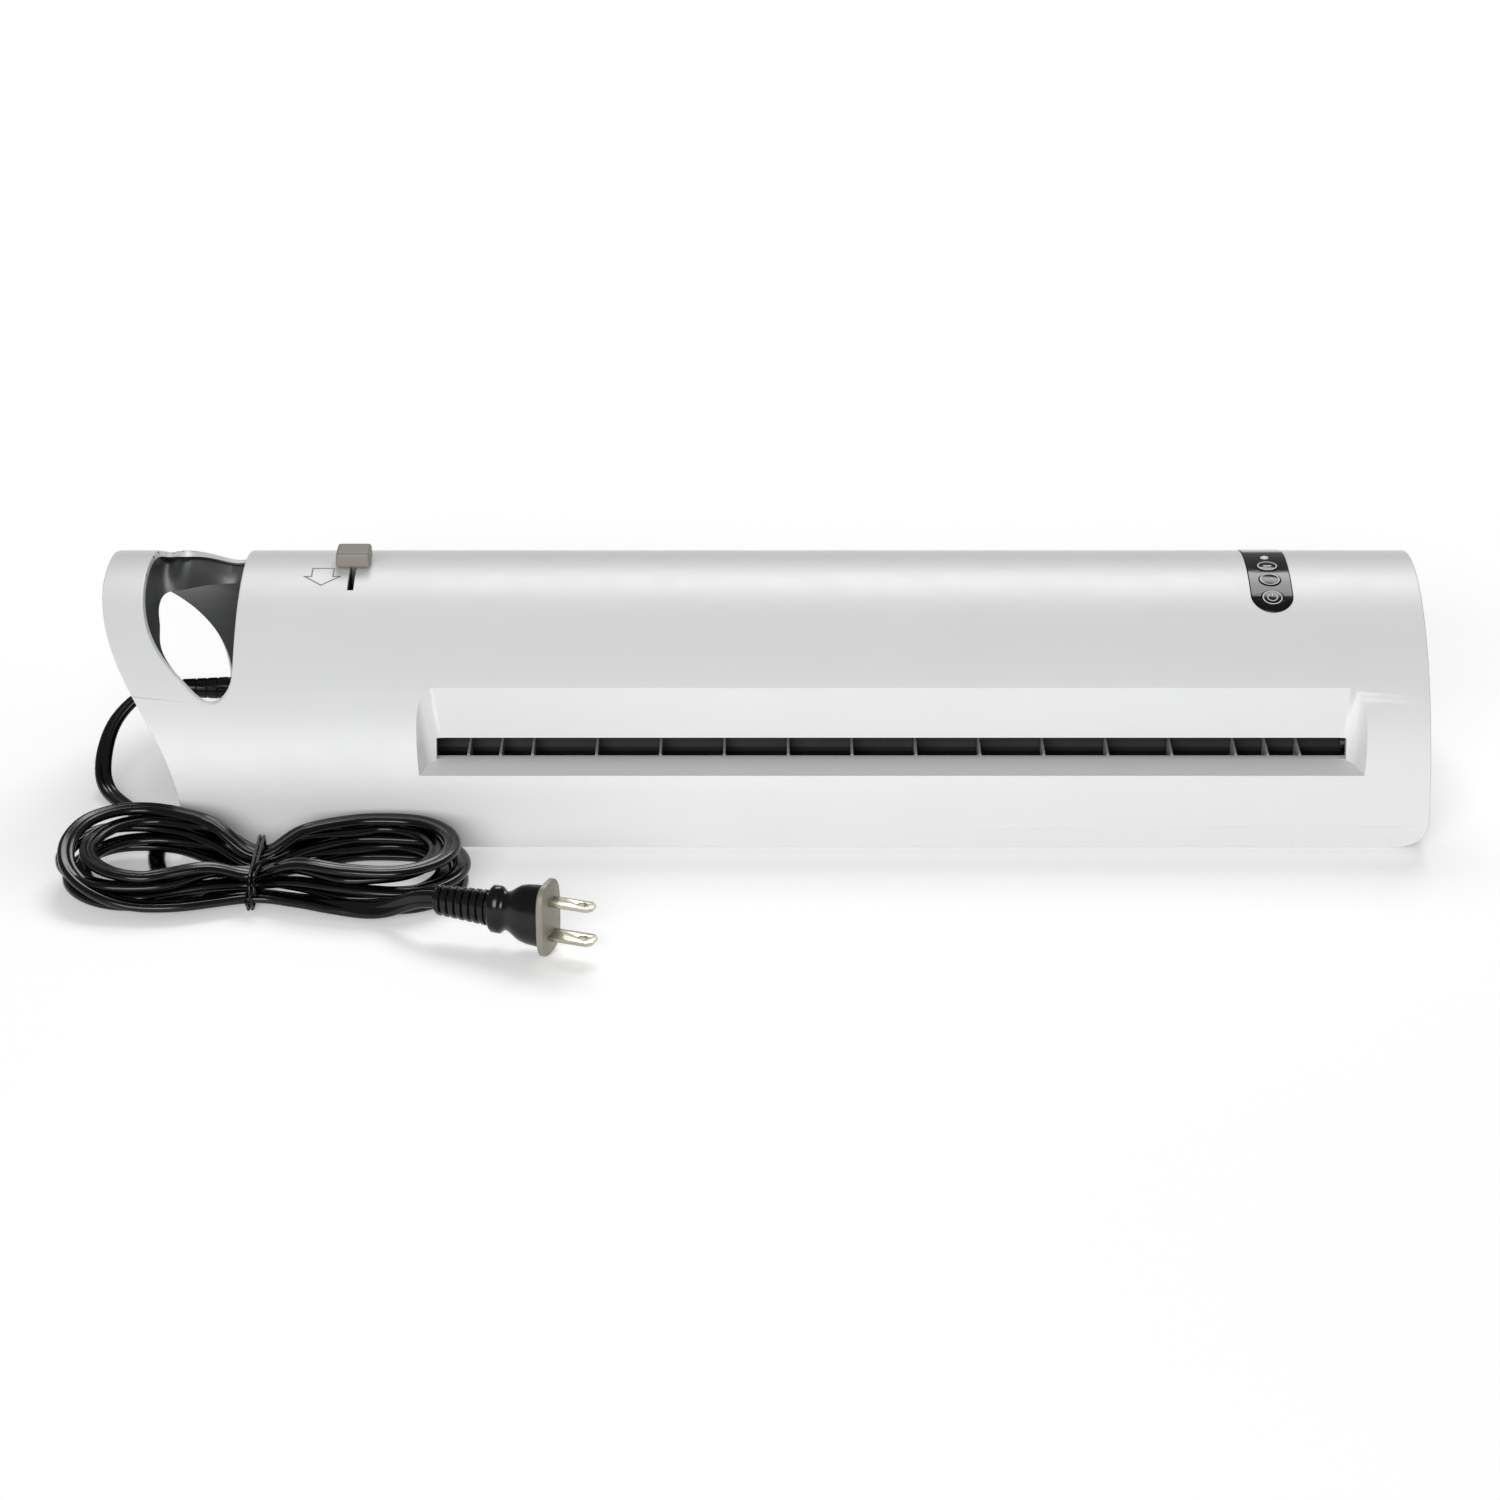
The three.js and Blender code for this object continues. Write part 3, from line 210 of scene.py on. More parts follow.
slotFinish = {
    "shell_white": shellWhite, "liner_grey": linerGrey, "dark_plastic": darkAbsAndShade, "panel_black": panelBlack,
    "lens_clear": lensClear, "board_green": boardGreen, "steel": steel, "silicone": siliconeDarkAndShade,
    "gear_acetal": acetal, "knob_grey": knobGrey, "aluminium": aluminium, "rib_grey": ribMaterial(),
    "foot_rubber": rubber, "cord_black": plugBlack, "blade_nickel": nickel,
}
nodeSlot = {part["node"]: part["material_slot"] for part in frame["record"]["subparts"]}
for node, slotName in nodeSlot.items():
    for holder in frame["nodes"][node].material_slots:
        holder.material = slotFinish[slotName]
print("materials made")


# shared making steps; a bmesh is worked in millimetres and leaves in metres
def addPiece(name, bm, material, rides="frame", replaced=(), sharp=35, weighted=False):
    bmesh.ops.scale(bm, vec=(mm, mm, mm), verts=bm.verts)
    mesh = bpy.data.meshes.new(name)
    bm.to_mesh(mesh)
    bm.free()
    piece = bpy.data.objects.new(name, mesh)
    scene.collection.objects.link(piece)
    mesh.materials.clear()
    mesh.materials.append(material)
    mesh.shade_smooth()
    mesh.set_sharp_from_angle(angle=math.radians(sharp))
    if weighted:
        piece.modifiers.new("evenShading", "WEIGHTED_NORMAL").keep_sharp = True
    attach(piece, rides)
    if replaced:
        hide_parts(*replaced)
    return piece


def bevelEdges(bm, edges, width, segments=3):
    bmesh.ops.bevel(bm, geom=edges, offset=width, offset_type="OFFSET", affect="EDGES", segments=segments,
                    profile=0.5, material=-1, clamp_overlap=False, loop_slide=True)


def sharpEdges(bm, angle):
    return [e for e in bm.edges if len(e.link_faces) == 2 and e.calc_face_angle(0) > math.radians(angle)]


# a smooth step from 0 at low to 1 at high
def ease(value, low, high):
    share = min(1, max(0, (value - low) / (high - low)))
    return share * share * (3 - 2 * share)


# extrudes faces, moves the new end and turns every face outwards
def pushFaces(bm, faces, shift):
    pushed = bmesh.ops.extrude_face_region(bm, geom=faces)["geom"]
    bmesh.ops.translate(bm, vec=shift, verts=[g for g in pushed if isinstance(g, bmesh.types.BMVert)])
    bmesh.ops.recalc_face_normals(bm, faces=bm.faces)


# a flat outline in two axes, pushed along the third
def prism(points, axis, low, high):
    bm = bmesh.new()
    spots = {"X": lambda a, b: (low, a, b), "Y": lambda a, b: (a, low, b), "Z": lambda a, b: (a, b, low)}[axis]
    face = bm.faces.new([bm.verts.new(spots(a, b)) for a, b in points])
    pushFaces(bm, [face], [high - low if axis == name else 0 for name in "XYZ"])
    return bm


# the half-round section between two places on X, set in from the outer surface
def halfRound(fromX, toX, inset, low):
    bm = bmesh.new()
    bmesh.ops.create_circle(bm, cap_ends=True, segments=body["facets"] * 2, radius=1)
    bmesh.ops.scale(bm, vec=(body["halfDepth"] - inset, body["height"] - inset, 1), verts=bm.verts)
    bmesh.ops.transform(bm, matrix=acrossX(fromX, 0, body["base"]), verts=bm.verts)
    bmesh.ops.bisect_plane(bm, geom=bm.verts[:] + bm.edges[:] + bm.faces[:], plane_co=(0, 0, low),
                           plane_no=(0, 0, -1), clear_outer=True, dist=1e-4)
    pushFaces(bm, bm.faces[:], (toX - fromX, 0, 0))
    return bm


# turns a shape drawn flat so that its own x, y and z run along Y, Z and X
def acrossX(x, y, z):
    return Matrix(((0, 0, 1, x), (1, 0, 0, y), (0, 1, 0, z), (0, 0, 0, 1)))


def toolObject(bm):
    bmesh.ops.scale(bm, vec=(mm, mm, mm), verts=bm.verts)
    mesh = bpy.data.meshes.new("tool")
    bm.to_mesh(mesh)
    bm.free()
    tool = bpy.data.objects.new("tool", mesh)
    scene.collection.objects.link(tool)
    return tool


# cuts or joins solids in order and gives the result as a bmesh in millimetres
def carve(start, steps):
    work = toolObject(start)
    tools = []
    for how, bm in steps:
        change = work.modifiers.new("carve", "BOOLEAN")
        change.operation = how
        change.solver = "EXACT"
        change.object = toolObject(bm)
        tools.append(change.object)
    bpy.context.view_layer.update()
    mesh = bpy.data.meshes.new_from_object(work.evaluated_get(bpy.context.evaluated_depsgraph_get()))
    result = bmesh.new()
    result.from_mesh(mesh)
    bmesh.ops.scale(result, vec=(1 / mm, 1 / mm, 1 / mm), verts=result.verts)
    for thing in [work, *tools]:
        old = thing.data
        bpy.data.objects.remove(thing)
        bpy.data.meshes.remove(old)
    bpy.data.meshes.remove(mesh)
    bmesh.ops.remove_doubles(result, verts=result.verts, dist=0.03)
    bmesh.ops.dissolve_degenerate(result, dist=0.02, edges=result.edges)
    return result


def curveThrough(knots, steps=14):
    points = []
    for a, b, c, d in knots:
        points += [tuple(p) for p in interpolate_bezier(Vector(a), Vector(b), Vector(c), Vector(d), steps)][:-1]
    return points + [knots[-1][3]]


def surfaceHeight(y):
    return body["base"] + body["height"] * math.sqrt(1 - (y / body["halfDepth"]) ** 2)


def surfaceFrame(x, y):
    z = surfaceHeight(y) - body["base"]
    normal = Vector((0, y / body["halfDepth"] ** 2, z / body["height"] ** 2)).normalized()
    side = Vector((1, 0, 0))
    along = normal.cross(side)
    spot = Vector((x, y, surfaceHeight(y)))
    return Matrix(((side.x, along.x, normal.x, spot.x), (side.y, along.y, normal.y, spot.y),
                   (side.z, along.z, normal.z, spot.z), (0, 0, 0, 1)))


# the cord: a flat twin lead from the strain relief, round the tied hank, to the plug
cordSettings = {
    "width": 6.4, "thick": 3.2, "step": 2.6, "length": 1.93,
    "lead": [(-219.3, 0, 33), (-224, -0.1, 32.9), (-231, -0.6, 31.9), (-238, -2.5, 28.6),
             (-244.5, -7, 22), (-247.8, -13, 14), (-248, -20.9, 6.8), (-245, -28.3, 3),
             (-239.5, -36.2, 2), (-233.5, -43.9, 1.8), (-228, -51.4, 1.8), (-224, -59.1, 1.8),
             (-221.5, -66.9, 1.8), (-220.3, -75.6, 1.8), (-219.2, -87, 1.8), (-215.5, -99, 1.8),
             (-207.5, -109, 1.8), (-196, -114.4, 1.8)],
    "tail": [(-181, -122.4, 4.6), (-165, -125.2, 4.4), (-151, -129.4, 4.2), (-138.5, -133, 4.6),
             (-131, -135.6, 6.6), (-125, -138.4, 10), (-119.4, -141.5, 13), (-114, -143.2, 13.9)],
    "middle": (-181, -103), "lobes": (-225.5, -131.5),
    "radius": [22.0, 21.4, 22.6, 21.2, 22.2],
    "rightShift": [(1.5, -1), (-3.5, 1), (2, -2), (-6, 1.5), (-1, -0.5)],
    "leftShift": [(0, 0.5), (4, -1), (-1.5, 1), (6, 0), (1, 1.5)],
    "nearWaist": [(12, 1.8), (5.2, 4.4), (12, 6.2), (5.2, 7.9), (12, 9.8)],
    "farWaist": [(5.2, 2.0), (12, 3.9), (5.2, 5.7), (12, 7.5), (5.2, 9.4)],
    "layer": 3.5, "onEdge": (62, 4),
}


def hankPoints(s):
    midX, midY = s["middle"]
    leftX, rightX = s["lobes"]
    points = []
    for k, radius in enumerate(s["radius"]):
        nearY, nearZ = s["nearWaist"][k]
        farY, farZ = s["farWaist"][k]
        shiftX, shiftY = s["rightShift"][k]
        height = 1.8 + s["layer"] * k
        points.append((midX, midY - nearY, nearZ))
        points.append((midX + 16, midY - nearY - (radius - nearY) * 0.38, height))
        points.append((midX + 33, midY - radius * 0.93, height))
        for turn in range(-90, 91, 30):
            angle = math.radians(turn)
            points.append((rightX + shiftX + radius * math.cos(angle),
                           midY + shiftY + radius * math.sin(angle), height))
        points.append((midX + 33, midY + radius * 0.93, height))
        points.append((midX + 16, midY + farY + (radius - farY) * 0.38, height + 0.2))
        points.append((midX, midY + farY, farZ))
        shiftX, shiftY = s["leftShift"][k]
        over = 5.3 + s["layer"] * k
        points.append((midX - 16, midY + farY + (radius - farY) * 0.38, over - 0.8))
        points.append((midX - 30, midY + radius * 0.9, over))
        last = k == len(s["radius"]) - 1
        for turn in range(90, 271, 30):
            angle = math.radians(turn)
            wide = radius
            level = over - 2.6 * max(0, turn - 120) / 150
            if last and turn > 150:
                wide = radius + 6 * (turn - 150) / 120
                level = over - (over - 5.6) * (turn - 150) / 120
            points.append((leftX + shiftX + wide * math.cos(angle),
                           midY + shiftY + wide * math.sin(angle), level))
        if last:
            points.append((midX - 26, midY - 27, 4.9))
        else:
            nextY = s["nearWaist"][k + 1][0]
            points.append((midX - 30, midY - radius * 0.9, over - 2.4))
            points.append((midX - 15, midY - nextY - (radius - nextY) * 0.38, max(over - 1.6, 5.3)))
    return points


# a smooth line through points, in even steps
def smoothLine(points, step):
    knots = [Vector(p) for p in points]
    knots = [knots[0] * 2 - knots[1], *knots, knots[-1] * 2 - knots[-2]]
    dense = []
    for a, b, c, d in zip(knots, knots[1:], knots[2:], knots[3:]):
        for k in range(16):
            t = k / 16
            dense.append(0.5 * ((2 * b) + (c - a) * t + (2 * a - 5 * b + 4 * c - d) * t * t
                                + (3 * b - a - 3 * c + d) * t ** 3))
    dense.append(knots[-2])
    total = sum((q - p).length for p, q in zip(dense, dense[1:]))
    count = round(total / step)
    even = [dense[0]]
    walked = 0.0
    for p, q in zip(dense, dense[1:]):
        span = (q - p).length
        while len(even) < count and walked + span >= total * len(even) / count:
            even.append(p.lerp(q, (total * len(even) / count - walked) / span))
        walked += span
    if len(even) <= count:
        even.append(dense[-1])
    return even, total


# a section carried along a line, with its width lying flat and turned by roll
def sweep(line, section, rolls=None):
    bm = bmesh.new()
    rings = []
    for k, spot in enumerate(line):
        before = line[k - 1] if k > 0 else spot
        after = line[k + 1] if k + 1 < len(line) else spot
        tangent = (after - before).normalized()
        side = Vector((0, 0, 1)).cross(tangent).normalized()
        if rolls:
            side = Matrix.Rotation(rolls[k], 3, tangent) @ side
        up = tangent.cross(side)
        rings.append([bm.verts.new(spot + side * a + up * b) for a, b in section])
    for near, far in zip(rings, rings[1:]):
        for k in range(len(section)):
            bm.faces.new((near[k], near[k - 1], far[k - 1], far[k]))
    bm.faces.new(rings[0])
    bm.faces.new(rings[-1][::-1])
    bmesh.ops.recalc_face_normals(bm, faces=bm.faces)
    return bm


def roundSection(radius, sides):
    return [(radius * math.cos(2 * math.pi * k / sides), radius * math.sin(2 * math.pi * k / sides))
            for k in range(sides)]


# the section lies flat, with a slow sway, and turns on its edge before the plug
def makeCord(s):
    half = s["thick"] / 2
    arc = [-118, -84, -50, -17, 17, 50, 84, 118]
    section = [(half + half * math.cos(math.radians(a)), half * math.sin(math.radians(a))) for a in arc]
    section += [(0, half * 0.68)] + [(-a, -b) for a, b in section] + [(0, -half * 0.68)]
    line, total = smoothLine([*s["lead"], *hankPoints(s), *s["tail"]], s["step"])
    flatUntil, onEdgeFrom = s["onEdge"]
    rolls = []
    for k in range(len(line)):
        left = total * (1 - k / (len(line) - 1))
        rolls.append(math.pi / 2 * ease(-left, -flatUntil, -onEdgeFrom) + 0.07 * math.sin(k * 0.11))
    print("cord length in metres", round(total * mm, 4))
    cord = addPiece("power_cord", sweep(line, section, rolls), cordBlack,
                    replaced=("cord_lead", "cord_hank", "cord_tail"), sharp=80)
    return cord, [tuple(p * mm) for p in line]


cord, cordLine = makeCord(cordSettings)


# the twist tie round the hank's waist, two windings and a twisted end
tieSettings = {"x": -181, "low": 0.75, "high": 12.9, "near": -127.3, "far": -86.6, "round": 5.5, "wire": 0.62,
               "bulgeMiddle": -107, "bulgeHalf": 22}


def makeTie(s):
    corners = []
    for cornerY, cornerZ, start in ((s["near"], s["low"], 180), (s["far"], s["low"], 270),
                                    (s["far"], s["high"], 0), (s["near"], s["high"], 90)):
        y = cornerY + (s["round"] if cornerY == s["near"] else -s["round"])
        z = cornerZ + (s["round"] if cornerZ == s["low"] else -s["round"])
        for turn in range(start, start + 91, 30):
            angle = math.radians(turn)
            corners.append((y + s["round"] * math.cos(angle), z + s["round"] * math.sin(angle)))
    # the upper side bulges over the strands
    corners = [(y, z + (z > 8) * (1 - abs(y - s["bulgeMiddle"]) / s["bulgeHalf"])) for y, z in corners]
    points = []
    for lap in range(2):
        for k, (y, z) in enumerate(corners):
            points.append((s["x"] - 0.9 + 1.5 * (lap + k / len(corners)), y, z))
    points = [(s["x"] + 8.5, -114.5, 17.6), (s["x"] + 5, -115.5, 15.6), (s["x"] + 1, -119, 14), *points,
              (s["x"] + 2, -123, 12.4), (s["x"] + 3.5, -117, 14.6), (s["x"] + 9, -113, 15.4),
              (s["x"] + 13, -110.5, 16.2)]
    line = smoothLine(points, 1.2)[0]
    return addPiece("hank_tie", sweep(line, roundSection(s["wire"], 8)), cordBlack, sharp=80)


tie = makeTie(tieSettings)


# plug, drawn with its own x towards the blades and then laid where the cord ends
plugSettings = {"start": (-113.3, -143.4, 13.9), "yaw": -19.7, "face": 43.6, "flange": (8.6, 13.4),
                "bladeGap": 12.7, "bladeLength": 16}
plugPlace = (Matrix.Translation(plugSettings["start"])
             @ Matrix.Rotation(math.radians(plugSettings["yaw"]), 4, "Z"))


def loft(stations, sides=48, power=2):
    bm = bmesh.new()
    rings = []
    for x, wide, tall in stations:
        made = bmesh.ops.create_circle(bm, cap_ends=False, segments=sides, radius=1)["verts"]
        for v in made:
            v.co.x = math.copysign(abs(v.co.x) ** (2 / power), v.co.x)
            v.co.y = math.copysign(abs(v.co.y) ** (2 / power), v.co.y)
        bmesh.ops.scale(bm, vec=(wide, tall, 1), verts=made)
        bmesh.ops.transform(bm, matrix=acrossX(x, 0, 0), verts=made)
        rings.append(list({e for v in made for e in v.link_edges}))
    for near, far in zip(rings, rings[1:]):
        bmesh.ops.bridge_loops(bm, edges=near + far)
    bmesh.ops.contextual_create(bm, geom=rings[0])
    bmesh.ops.contextual_create(bm, geom=rings[-1])
    bmesh.ops.recalc_face_normals(bm, faces=bm.faces)
    return bm


def makePlug(s):
    boot = [(0.1, 3.4, 4.7)]
    for k in range(7):
        x = 0.8 + k * 2.85
        grow = k * 0.15
        boot += [(x, 3.5 + grow, 5.0 + grow), (x + 0.35, 4.2 + grow, 5.6 + grow),
                 (x + 1.6, 4.25 + grow, 5.65 + grow), (x + 1.95, 3.5 + grow, 5.0 + grow)]
    boot += [(20.9, 4.3, 5.9), (21.3, 5.9, 8.2), (21.9, 6.2, 8.8), (24.7, 6.2, 8.8), (25.4, 5.8, 8.2),
             (26.1, 5.2, 7.4), (27.1, 5.1, 7.2), (28.4, 5.4, 7.7), (30, 6.1, 8.9), (32.2, 7.0, 10.4),
             (35, 7.5, 11.1), (39.4, 7.7, 11.5), (41.3, 7.8, 11.8)]
    bm = loft(boot)
    bmesh.ops.transform(bm, matrix=plugPlace, verts=bm.verts)
    grip = addPiece("plug_grip", bm, plugBlack, replaced=("plug_body",), sharp=50)
    wide, tall = s["flange"]
    bm = loft([(41.1, wide - 0.4, tall - 0.4), (41.5, wide, tall), (42.9, wide, tall),
               (43.3, wide - 0.2, tall - 0.2), (s["face"], wide - 0.7, tall - 0.7)], 96, 3.4)
    bmesh.ops.transform(bm, matrix=plugPlace, verts=bm.verts)
    face = addPiece("plug_face", bm, plugFace, sharp=40)
    pieces = [grip, face]
    for name, side, half in (("narrow", 1, 3.2), ("wide", -1, 4.0)):
        end = s["face"] + s["bladeLength"]
        z = side * s["bladeGap"] / 2
        outline = [(40, -half), (end - 1.6, -half), (end, -half + 1.6), (end, half - 1.6),
                   (end - 1.6, half), (40, half)]
        hole = bmesh.new()
        bmesh.ops.create_cone(hole, cap_ends=True, segments=24, radius1=1.6, radius2=1.6, depth=4,
                              matrix=Matrix.Translation((end - 4.6, 0, z)))
        bm = carve(prism(outline, "Z", z - 0.75, z + 0.75), [("DIFFERENCE", hole)])
        bevelEdges(bm, sharpEdges(bm, 50), 0.22, 2)
        bmesh.ops.transform(bm, matrix=plugPlace, verts=bm.verts)
        pieces.append(addPiece("plug_blade_" + name + "_stamped", bm, nickel,
                               replaced=("plug_blade_" + name,), sharp=40))
    return pieces


plugPieces = makePlug(plugSettings)


# strain relief: a tapered sleeve with rings cut nearly through, on a flat collar
def makeRelief():
    stations = [(-219.2, 2.6, 3.3), (-218.7, 2.9, 3.6)]
    for k in range(6):
        x = -217.6 + k * 4.1
        grow = k * 0.2
        stations += [(x, 3.0 + grow, 3.6 + grow), (x + 3.3, 3.15 + grow, 3.75 + grow),
                     (x + 3.5, 2.9 + grow, 3.5 + grow), (x + 3.9, 2.9 + grow, 3.5 + grow)]
    stations += [(-193.4, 4.6, 4.9), (-193.1, 6.3, 6.3), (-192.7, 6.5, 6.5), (-191.0, 6.5, 6.5), (-190.9, 4, 4),
                 (-188.1, 4, 4), (-188.0, 6, 6), (-186.3, 6, 6), (-186, 5.7, 5.7)]
    bm = loft(stations, 40)
    bmesh.ops.translate(bm, vec=(0, 0, cordSettings["lead"][0][2]), verts=bm.verts)
    return addPiece("strain_relief_sleeve", bm, plugBlack, replaced=("strain_relief",),
                    sharp=40)


relief = makeRelief()
print("cord, tie and plug made")


# the casing: half-round shell with the handle's arch, both recesses and their slots
recessSettings = {
    "exit": {"side": -1, "plane": -60, "low": 30.5, "high": 38.2, "top": (-55, 59.2), "sill": (-70.7, 28.4)},
    "feed": {"side": 1, "plane": 60, "low": 28.8, "high": 36.8, "top": (57, 54), "sill": (70.7, 25.5)},
    "left": -118.6, "right": 214, "room": 2, "draft": 0.47, "lean": 0.26, "leanFrom": 32.8, "reach": 24,
    "crease": 5, "sillFall": 0.23, "growRun": 1.4, "slotOut": 2, "slotIn": 5,
}
handleSettings = {
    "slant": [((-244, 82), (-241, 69), (-231, 57), (-224, 46)),
              ((-224, 46), (-217.5, 36), (-211.5, 24), (-211, 10))],
    "hole": [((-193, 62), (-193, 55.5), (-196.5, 51.6), (-200.5, 51.6)),
             ((-200.5, 51.6), (-204.5, 51.6), (-208, 55.5), (-213.5, 59.7)),
             ((-213.5, 59.7), (-222, 66.3), (-228.2, 74), (-228.6, 83))],
    "edge": 0.6, "grip": 11, "liner": 1.8, "gripY": (-52, -18),
    "backRise": 16.5, "riseY": (-12, 28), "riseX": (-228.6, -216.6),
}
leverSlot = {"x": -152, "half": 1.2, "from": -20.3, "to": 3.5}
panelSettings = {"x": 188.8, "width": 15.2, "near": -31, "far": 33, "proud": 0.3, "lensY": 4.5,
                 "lensRadius": 1.6, "gap": 0.2}


def recessTool(s, common, grow=0.0):
    side, plane = s["side"], s["plane"]
    out = plane + side * common["reach"]
    sillY, sillZ = s["sill"]
    section = [(plane - side * grow, s["low"] - grow), (plane - side * grow, s["high"]),
               (s["top"][0] - side * grow, s["top"][1] + grow), (out, s["top"][1] + grow),
               (out, sillZ - (out - sillY) * side * common["sillFall"] - grow)]
    bm = bmesh.new()
    for y, z in section:
        run = common["room"] + (y - plane) * side * common["draft"]
        run += (z - common["leanFrom"]) * common["lean"]
        run += grow * common["growRun"]
        bm.verts.new((common["left"] - run, y, z))
        bm.verts.new((common["right"] + run, y, z))
    bmesh.ops.convex_hull(bm, input=bm.verts[:])
    bmesh.ops.dissolve_limit(bm, angle_limit=math.radians(1), verts=bm.verts[:], edges=bm.edges[:])
    if not grow:
        creases = [e for e in sharpEdges(bm, 20) if abs(e.verts[0].co.x - e.verts[1].co.x) < 15
                   and all((v.co.y - plane) * side < 8 for v in e.verts)]
        bevelEdges(bm, creases, common["crease"], 5)
    bmesh.ops.recalc_face_normals(bm, faces=bm.faces)
    return bm


def boxTool(low, high):
    corners = [(low[0], low[1]), (high[0], low[1]), (high[0], high[1]), (low[0], high[1])]
    return prism(corners, "Z", low[2], high[2])


def slotTool(s, common):
    near, far = sorted((s["plane"] + s["side"] * common["slotOut"], s["plane"] - s["side"] * common["slotIn"]))
    return boxTool((common["left"], near, s["low"]), (common["right"], far, s["high"]))


def slantOutline(inset=0.0):
    curve = [(x + inset, z) for x, z in curveThrough(handleSettings["slant"])]
    right, base, corner = body["right"], body["base"], body["corner"]
    turn = [(right - corner + corner * math.sin(math.radians(a)),
             base + corner - corner * math.cos(math.radians(a))) for a in range(0, 91, 9)]
    return [(curve[-1][0], base - 4), (right - corner, base - 4), *turn, (right, crown + 8),
            (curve[0][0], crown + 8), *curve]


def holeOutline(grow=0.0):
    curve = curveThrough(handleSettings["hole"])
    shifted = []
    for k, (x, z) in enumerate(curve):
        a = Vector(curve[max(0, k - 1)])
        b = Vector(curve[min(len(curve) - 1, k + 1)])
        way = (b - a).normalized()
        shifted.append((x - way.y * grow, z + way.x * grow))
    return [(shifted[0][0], crown + 8), *shifted, (shifted[-1][0], crown + 8)]


# the hand hole climbs behind the crown, which leaves a broader strap at the back
def holeTool(grow=0.0):
    depth = body["halfDepth"] + 1
    bm = prism(holeOutline(grow), "Y", -depth, depth)
    for k in range(22):
        bmesh.ops.bisect_plane(bm, geom=bm.verts[:] + bm.edges[:] + bm.faces[:], plane_co=(0, -12.3 + k * 2, 0),
                               plane_no=(0, 1, 0), dist=1e-4)
    for v in bm.verts:
        share = ease(v.co.y, *handleSettings["riseY"]) * ease(v.co.x, *handleSettings["riseX"])
        v.co.z += handleSettings["backRise"] * share
    return bm


def panelOutline(grow):
    half = panelSettings["width"] / 2
    points = []
    for y, start in ((panelSettings["near"] + half, 180), (panelSettings["far"] - half, 0)):
        for turn in range(start, start + 181, 12):
            angle = math.radians(turn)
            points.append((panelSettings["x"] + (half + grow) * math.cos(angle),
                           y + (half + grow) * math.sin(angle)))
    return points


def makeShell():
    depth = body["halfDepth"] + 1
    wall = body["wall"]
    recesses = (recessSettings["exit"], recessSettings["feed"])
    steps = [("DIFFERENCE", halfRound(body["left"] - 2, body["right"] - wall, wall, body["base"] - 1))]
    for s in recesses:
        inside = halfRound(body["endWall"], body["right"] - 1, wall / 2, body["base"])
        steps.append(("UNION", carve(inside, [("INTERSECT", recessTool(s, recessSettings, wall))])))
    steps += [("DIFFERENCE", recessTool(s, recessSettings)) for s in recesses]
    steps += [("DIFFERENCE", slotTool(s, recessSettings)) for s in recesses]
    steps += [
        ("INTERSECT", prism(slantOutline(), "Y", -depth, depth)),
        ("DIFFERENCE", holeTool()),
        ("DIFFERENCE", boxTool((leverSlot["x"] - leverSlot["half"], leverSlot["from"], crown - 12),
                               (leverSlot["x"] + leverSlot["half"], leverSlot["to"], crown + 2))),
        ("DIFFERENCE", prism(panelOutline(0.3), "Z", crown - 24, crown + 4)),
    ]
    bm = carve(halfRound(body["left"] - 1, body["right"], 0, body["base"]), steps)
    print("shell carved", len(bm.faces))
    bevelEdges(bm, [e for e in sharpEdges(bm, 28) if onSkin(e)], handleSettings["edge"], 3)
    return addPiece("shell_moulding", bm, shellWhite, replaced=("top_shell",), sharp=40, weighted=True)


# true for an edge on the outer surface, away from the openings of the panel and the lever; beside
# a recess only edges that run along X count
def onSkin(edge):
    for v in edge.verts:
        y, z = v.co.y / body["halfDepth"], (v.co.z - body["base"]) / body["height"]
        if abs(math.hypot(y, z) - 1) > 0.006 or v.co.z < body["base"] + 0.05:
            return False
    spot = (edge.verts[0].co + edge.verts[1].co) / 2
    along = abs((edge.verts[1].co - edge.verts[0].co).normalized().x)
    beyond = spot.x < recessSettings["left"] - 22 or spot.x > recessSettings["right"] + 22
    clear = abs(spot.x - panelSettings["x"]) > 10 and abs(spot.x - leverSlot["x"]) > 4
    return clear and (beyond or along > 0.98)


shell = makeShell()


# soft lining inside the arch, thick from the crown backwards for the grip
def makeLiner(s):
    outer = body["wall"] + body["gap"]
    depth = body["halfDepth"] + 1
    inset = outer + s["liner"]
    inside = [(body["halfDepth"] - inset, body["base"] - 2)]
    for turn in range(0, 181, 2):
        y = (body["halfDepth"] - inset) * math.cos(math.radians(turn))
        hang = (s["grip"] - s["liner"]) * ease(y, *s["gripY"])
        inside.append((y, body["base"] + (body["height"] - inset - hang) * math.sin(math.radians(turn))))
    inside.append((inset - body["halfDepth"], body["base"] - 2))
    bm = carve(halfRound(body["left"] - 1, body["endWall"] - 0.3, outer, body["base"] + 0.2), [
        ("DIFFERENCE", prism(inside, "X", body["left"] - 2, body["endWall"] + 1)),
        ("INTERSECT", prism(slantOutline(1.2), "Y", -depth, depth)),
        ("DIFFERENCE", holeTool(1.0)),
    ])
    return addPiece("handle_lining", bm, linerGrey, replaced=("handle_liner",), sharp=40,
                    weighted=True)


makeLiner(handleSettings)
print("casing made")


# control panel: a glossy strip over the crown, three caps, their ring marks and a ready light
buttonSettings = {
    "power_button": {"y": -24.6, "radius": 4, "mark": "power"},
    "thin_pouch_button": {"y": -14.3, "radius": 4, "mark": "thin"},
    "thick_pouch_button": {"y": -4.4, "radius": 4, "mark": "thick"},
}
markHeight = 0.05


